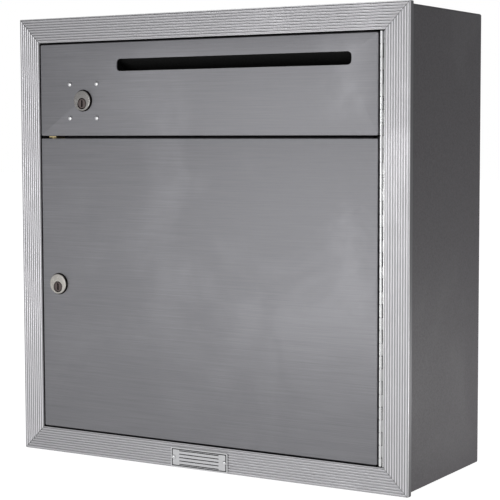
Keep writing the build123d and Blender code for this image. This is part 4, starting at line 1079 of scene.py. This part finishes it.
class DROPBOX_OT_locks(bpy.types.Operator):
    """Build the lock faces and plugs, and finish the works behind them"""
    bl_idname = "dropbox.locks"
    bl_label = "Locks"

    def execute(self, context):
        """Turn each lock's body and plug."""
        settings = context.scene.dropbox_locks
        face_y, plug_y = (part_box(f"lower_lock_{part}")[0].y for part in ("body", "plug"))
        # Painted shade, near black, on each lock face's side wall from this depth back.
        face_shade_depths = (face_y + settings.painted_shade, face_y + settings.painted_shade + 0.5 * MM)
        plating = {"lower": finish("nickel_plate", plated_finish, tuple(settings.colour),
                                   settings.roughness, 0.9, face_shade_depths),
                   "upper": finish("polished_plate", plated_finish, tuple(settings.upper_colour),
                                   settings.roughness / 2, 1.0, face_shade_depths)}
        # The plug's keyway walls get painted shade, near black, just behind its face.
        worn_and_shaded = finish("worn_plug", plated_finish, tuple(settings.plug_colour), 0.3, 0.5,
                      (plug_y + 0.25 * MM, plug_y + 0.7 * MM))
        steel = steel_finish()
        coat_nodes(steel, "lock_case", "lock_cover", "cover_screws", "lock_driver", "lock_bolt",
                   "lower_lock_nut", "lock_cam", "cam_screw", "bolt_strike", "corner_keys",
                   "trim_screws")
        for name in ("upper", "lower"):
            low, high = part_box(f"{name}_lock_body")
            centre = (low + high) / 2
            plug_low, plug_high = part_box(f"{name}_lock_plug")
            axis = Vector((centre.x, 0.0, centre.z - settings.plug_drop))
            publish(f"{name}_lock_turned", self.body(settings, centre, low.y, high.y, axis),
                    f"{name}_door", plating[name], [f"{name}_lock_body"], smooth=40.0)
            publish(f"{name}_plug_turned", self.plug(settings, axis, plug_low.y, plug_high.y),
                    f"{name}_plug", worn_and_shaded, [f"{name}_lock_plug"], smooth=40.0)
        self.rivets()
        return {"FINISHED"}

    def body(self, settings, centre, front, back, axis):
        """Lock face with an eased edge and a shallow ring, on a threaded barrel."""
        radius, hole = settings.face, settings.plug + 0.12 * MM
        mesh = bmesh.new()
        seat = front + 3.0 * MM
        barrel = 9.5 * MM
        flange = radius + 0.8 * MM
        thread = 1.0 * MM
        profile = [(radius - inset, front + drop) for inset, drop in quarter_round(0.8 * MM)]
        profile += [(radius, seat - 0.7 * MM), (flange, seat - 0.6 * MM), (flange, seat),
                    (barrel, seat)]
        y = seat + 2.4 * MM
        profile.append((barrel, y))
        while y < back - 1.6 * MM:
            profile += [(barrel - thread / 2, y + thread / 2), (barrel, y + thread)]
            y += thread
        profile += [(barrel, back - 0.4 * MM), (barrel - 0.4 * MM, back)]
        face, behind = loft(mesh, [circle(centre.x, centre.z, r, at) for r, at in profile])
        bore = ((hole + 0.8 * MM, front), (hole, front + 1.2 * MM), (hole, back))
        near, far = loft(mesh, [circle(axis.x, axis.z, r, at) for r, at in bore])
        cap(mesh, face, near)
        cap(mesh, behind, far)
        return mesh

    def plug(self, settings, axis, front, back):
        """Plug with an eased face, a keyway and a square tail."""
        mesh = bmesh.new()
        radius, ease = settings.plug - 0.03 * MM, 0.35 * MM
        tail = back - 2.2 * MM
        turned = ((radius - ease, front), (radius, front + ease), (radius, tail))
        face, behind = loft(mesh, [circle(axis.x, axis.z, r, at) for r, at in turned])
        half = Vector((settings.keyway_width / 2, 0.0, settings.keyway_height / 2))
        wide, key = (rounded_rectangle((axis.x - half.x - e, axis.x + half.x + e),
                                       (axis.z - half.z - e, axis.z + half.z + e), r, 0.0, 3)
                     for e, r in ((0.15 * MM, 0.4 * MM), (0.0, 0.3 * MM)))
        near, far = loft(mesh, put_at(((wide, front), (key, front + 0.25 * MM),
                                       (key, front + 7.0 * MM))))
        cap(mesh, face, near)
        cap(mesh, far)
        cap(mesh, behind)
        square = 3 * MM
        add_slab(mesh, (axis.x - square, tail - 0.5 * MM, axis.z - square),
                 (axis.x + square, back, axis.z + square), 0.2 * MM)
        return mesh

    def rivets(self):
        """The four domed rivets round the upper lock."""
        low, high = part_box("lock_rivets")
        radius = 2.6 * MM
        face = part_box("upper_door_panel")[0].y
        case = high.y - 1.0 * MM
        # Painted shade round each rivet's foot.
        material = finish("lock_rivet", plated_finish, RIVET_COLOUR, 0.18, 0.25,
                          (face - 0.45 * MM, face - 0.15 * MM))
        spots = [(x, z) for x in (low.x + radius, high.x - radius)
                 for z in (low.z + radius, high.z - radius)]
        ends = (("lock_rivet_fronts", face, (radius, face - low.y, 0.2 * MM), FACING_FRONT),
                ("lock_rivet_tails", case, (2.2 * MM, high.y - case, 0.1 * MM), FACING_BACK))
        front, back = (heads(name, [(x, y, z) for x, z in spots], *sizes, facing, material)
                       for name, y, sizes, facing in ends)
        publish("lock_rivet_heads", join(front, back), "upper_door", material,
                ["lock_rivets"])


class DROPBOX_OT_nameplate(bpy.types.Operator):
    """Build the riveted plate with its plain border and ruled lines"""
    bl_idname = "dropbox.nameplate"
    bl_label = "Nameplate"

    def execute(self, context):
        """Make the plate, its raised pattern and its rivets."""
        settings = context.scene.dropbox_plate
        low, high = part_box("nameplate")
        mesh = bmesh.new()
        ease = 0.15 * MM
        face, behind = loft(mesh, [
            inset_rectangle(low, high, i, 1.2 * MM - i, y)
            for i, y in ((ease, low.y), (0.0, low.y + ease), (0.0, high.y))])
        cap(mesh, face)
        cap(mesh, behind)
        satin = finish("satin_plate", brushed_finish, tuple(settings.colour), 0.34,
                       (60.0, 900.0, 900.0), contrast=1.2, relief=0.15, tone=0.1, haze_scale=60.0,
                       specks=0.3)
        publish("nameplate_blank", mesh, "cabinet", satin, ["nameplate"])
        self.add_pattern(settings, low, high)
        rivet_low, rivet_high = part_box("nameplate_rivets")
        radius = 2.3 * MM
        middle = (rivet_low.z + rivet_high.z) / 2
        spots = [(x, low.y, middle) for x in (rivet_low.x + radius, rivet_high.x - radius)]
        # Painted shade round each rivet's foot.
        bright = finish("plate_rivet", plated_finish, RIVET_COLOUR, 0.18, 0.25,
                        (low.y - 0.4 * MM, low.y - 0.1 * MM))
        domes = heads("nameplate_rivet_fronts", spots, radius, low.y - rivet_low.y, 0.15 * MM,
                      FACING_FRONT, bright)
        publish("nameplate_rivet_heads", domes, "cabinet", bright, ["nameplate_rivets"])
        return {"FINISHED"}

    def add_pattern(self, settings, low, high):
        """A painted border and plain ruled lines between the two rivets."""
        mesh = bmesh.new()
        sunk, raised = low.y + 0.05 * MM, low.y - 0.12 * MM
        outside, inside = settings.border, settings.border + settings.line
        first, last = loft(mesh, [
            inset_rectangle(low, high, i, 1.0 * MM, y)
            for i, y in ((outside, sunk), (outside, raised), (inside, raised), (inside, sunk))])
        bridge(mesh, last, first)
        self.add_rules(mesh, settings, low, high, raised, sunk)
        ink = finish("black_paint", rubber_finish, tuple(settings.ink))
        publish("nameplate_pattern", mesh, "cabinet", ink)

    def add_rules(self, mesh, settings, low, high, raised, sunk):
        """Plain ruled lines between the two rivets."""
        count, side, half = settings.rules, 11 * MM, settings.line / 2
        step = (high.z - low.z - 2 * settings.border - 4 * MM) / max(count - 1, 1)
        for i in range(count):
            z = low.z + settings.border + 2 * MM + step * i
            add_slab(mesh, (low.x + side, raised, z - half), (high.x - side, sunk, z + half),
                     0.05 * MM)


class DROPBOX_OT_fittings(bpy.types.Operator):
    """Finish the brass catch, the spring, the bumpers and the remaining rivets"""
    bl_idname = "dropbox.fittings"
    bl_label = "Fittings"

    def execute(self, context):
        """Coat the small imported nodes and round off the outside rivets."""
        brass = finish("machined_brass", plated_finish, (0.80, 0.66, 0.36), 0.26, 0.35)
        spring = finish("spring_wire", plated_finish, (0.55, 0.55, 0.55), 0.3, 0.3)
        rubber = finish("black_rubber", rubber_finish, (0.025, 0.025, 0.025))
        coat_nodes(brass, "catch_strike", "catch_body", "catch_plunger")
        self.add_spring(spring)
        coat_nodes(rubber, "door_bumpers")
        coat_nodes(rivet_finish(), "shelf_rivets", "strike_rivets")
        self.outside_rivets()
        return {"FINISHED"}

    def add_spring(self, material):
        """The catch's coil spring."""
        low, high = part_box("catch_spring")
        middle = (low + high) / 2
        wire, turns, steps, sides = 0.3 * MM, 6, 20, 8
        radius = (high.x - low.x) / 2 - wire
        upward = Vector((0.0, 0.0, 1.0))
        rings = []
        for i in range(turns * steps + 1):
            angle = 2 * math.pi * i / steps
            outward = Vector((math.cos(angle), math.sin(angle), 0.0))
            height = low.z + wire + (high.z - low.z - 2 * wire) * i / (turns * steps)
            centre = Vector((middle.x, middle.y, height)) + radius * outward
            rings.append([centre + wire * (math.cos(a) * outward + math.sin(a) * upward)
                          for a in (2 * math.pi * j / sides for j in range(sides))])
        mesh = bmesh.new()
        for end in loft(mesh, rings):
            cap(mesh, end)
        coil = publish("catch_spring_coil", mesh, "lower_door", material,
                       ["catch_spring"])
        travel = next(j for j in frame["joints"] if j["name"] == "catch_push")["range_m"][1]
        1 - travel / (high.z - low.z)
        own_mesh(coil)

    def outside_rivets(self):
        """Domed rivets through the casing's top and bottom into its back panel."""
        low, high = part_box("back_rivets")
        casing_low, casing_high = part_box("wrapper")
        radius, inner = 3.0 * MM, 3.3 * MM
        first, last = low.x + radius, high.x - radius
        middle = (low.y + high.y) / 2
        coat = FINISHES["dark_coat"]
        outer_head, inner_tail = (radius, high.z - casing_high.z), (2.2 * MM, 1.0 * MM)
        groups = [heads(f"back_rivets_{name}",
                        [(first + (last - first) * i / 3, middle, z) for i in range(4)],
                        *sizes, 0.15 * MM, (turned, 0.0, 0.0), coat)
                  for name, z, turned, sizes in (
                      ("top", casing_high.z, 0.0, outer_head),
                      ("bottom", casing_low.z, math.pi, outer_head),
                      ("top_tail", casing_high.z - inner, math.pi, inner_tail),
                      ("bottom_tail", casing_low.z + inner, 0.0, inner_tail))]
        publish("back_rivet_heads", join(*groups), "cabinet", coat, ["back_rivets"])


class DROPBOX_PT_panel(bpy.types.Panel):
    """Lists the makers of the drop box in the sidebar"""
    bl_idname = "DROPBOX_PT_panel"
    bl_label = "Drop Box"
    bl_space_type = "VIEW_3D"
    bl_region_type = "UI"
    bl_category = "Drop Box"

    def draw(self, context):
        """One button for each maker, and the settings under it."""
        for maker in MAKERS:
            self.layout.operator(maker.bl_idname)
        for name in SETTINGS:
            group = getattr(context.scene, name)
            box = self.layout.box()
            box.label(text=name.replace("dropbox_", "").title())
            for key in group.__annotations__:
                box.prop(group, key)


SETTINGS = {
    "dropbox_stage": StageSettings,
    "dropbox_casing": CasingSettings,
    "dropbox_trim": TrimSettings,
    "dropbox_doors": DoorSettings,
    "dropbox_hinge": HingeSettings,
    "dropbox_locks": LockSettings,
    "dropbox_plate": PlateSettings,
}
MAKERS = (DROPBOX_OT_stage, DROPBOX_OT_casing, DROPBOX_OT_trim, DROPBOX_OT_doors, DROPBOX_OT_hinge,
          DROPBOX_OT_locks, DROPBOX_OT_nameplate, DROPBOX_OT_fittings)


def register():
    """Register the settings, the makers and the panel."""
    for name, group in SETTINGS.items():
        bpy.utils.register_class(group)
        setattr(bpy.types.Scene, name, PointerProperty(type=group))
    for maker in MAKERS:
        bpy.utils.register_class(maker)
    bpy.utils.register_class(DROPBOX_PT_panel)


def unregister():
    """Take everything back out."""
    bpy.utils.unregister_class(DROPBOX_PT_panel)
    for maker in reversed(MAKERS):
        bpy.utils.unregister_class(maker)
    for name, group in reversed(SETTINGS.items()):
        delattr(bpy.types.Scene, name)
        bpy.utils.unregister_class(group)


def main():
    """Build everything in order."""
    register()
    for maker in MAKERS:
        done = getattr(bpy.ops.dropbox, maker.bl_idname.split(".")[1])()
        if done != {"FINISHED"}:
            raise RuntimeError(f"{maker.bl_label} did not finish")


if __name__ == "__main__":
    main()
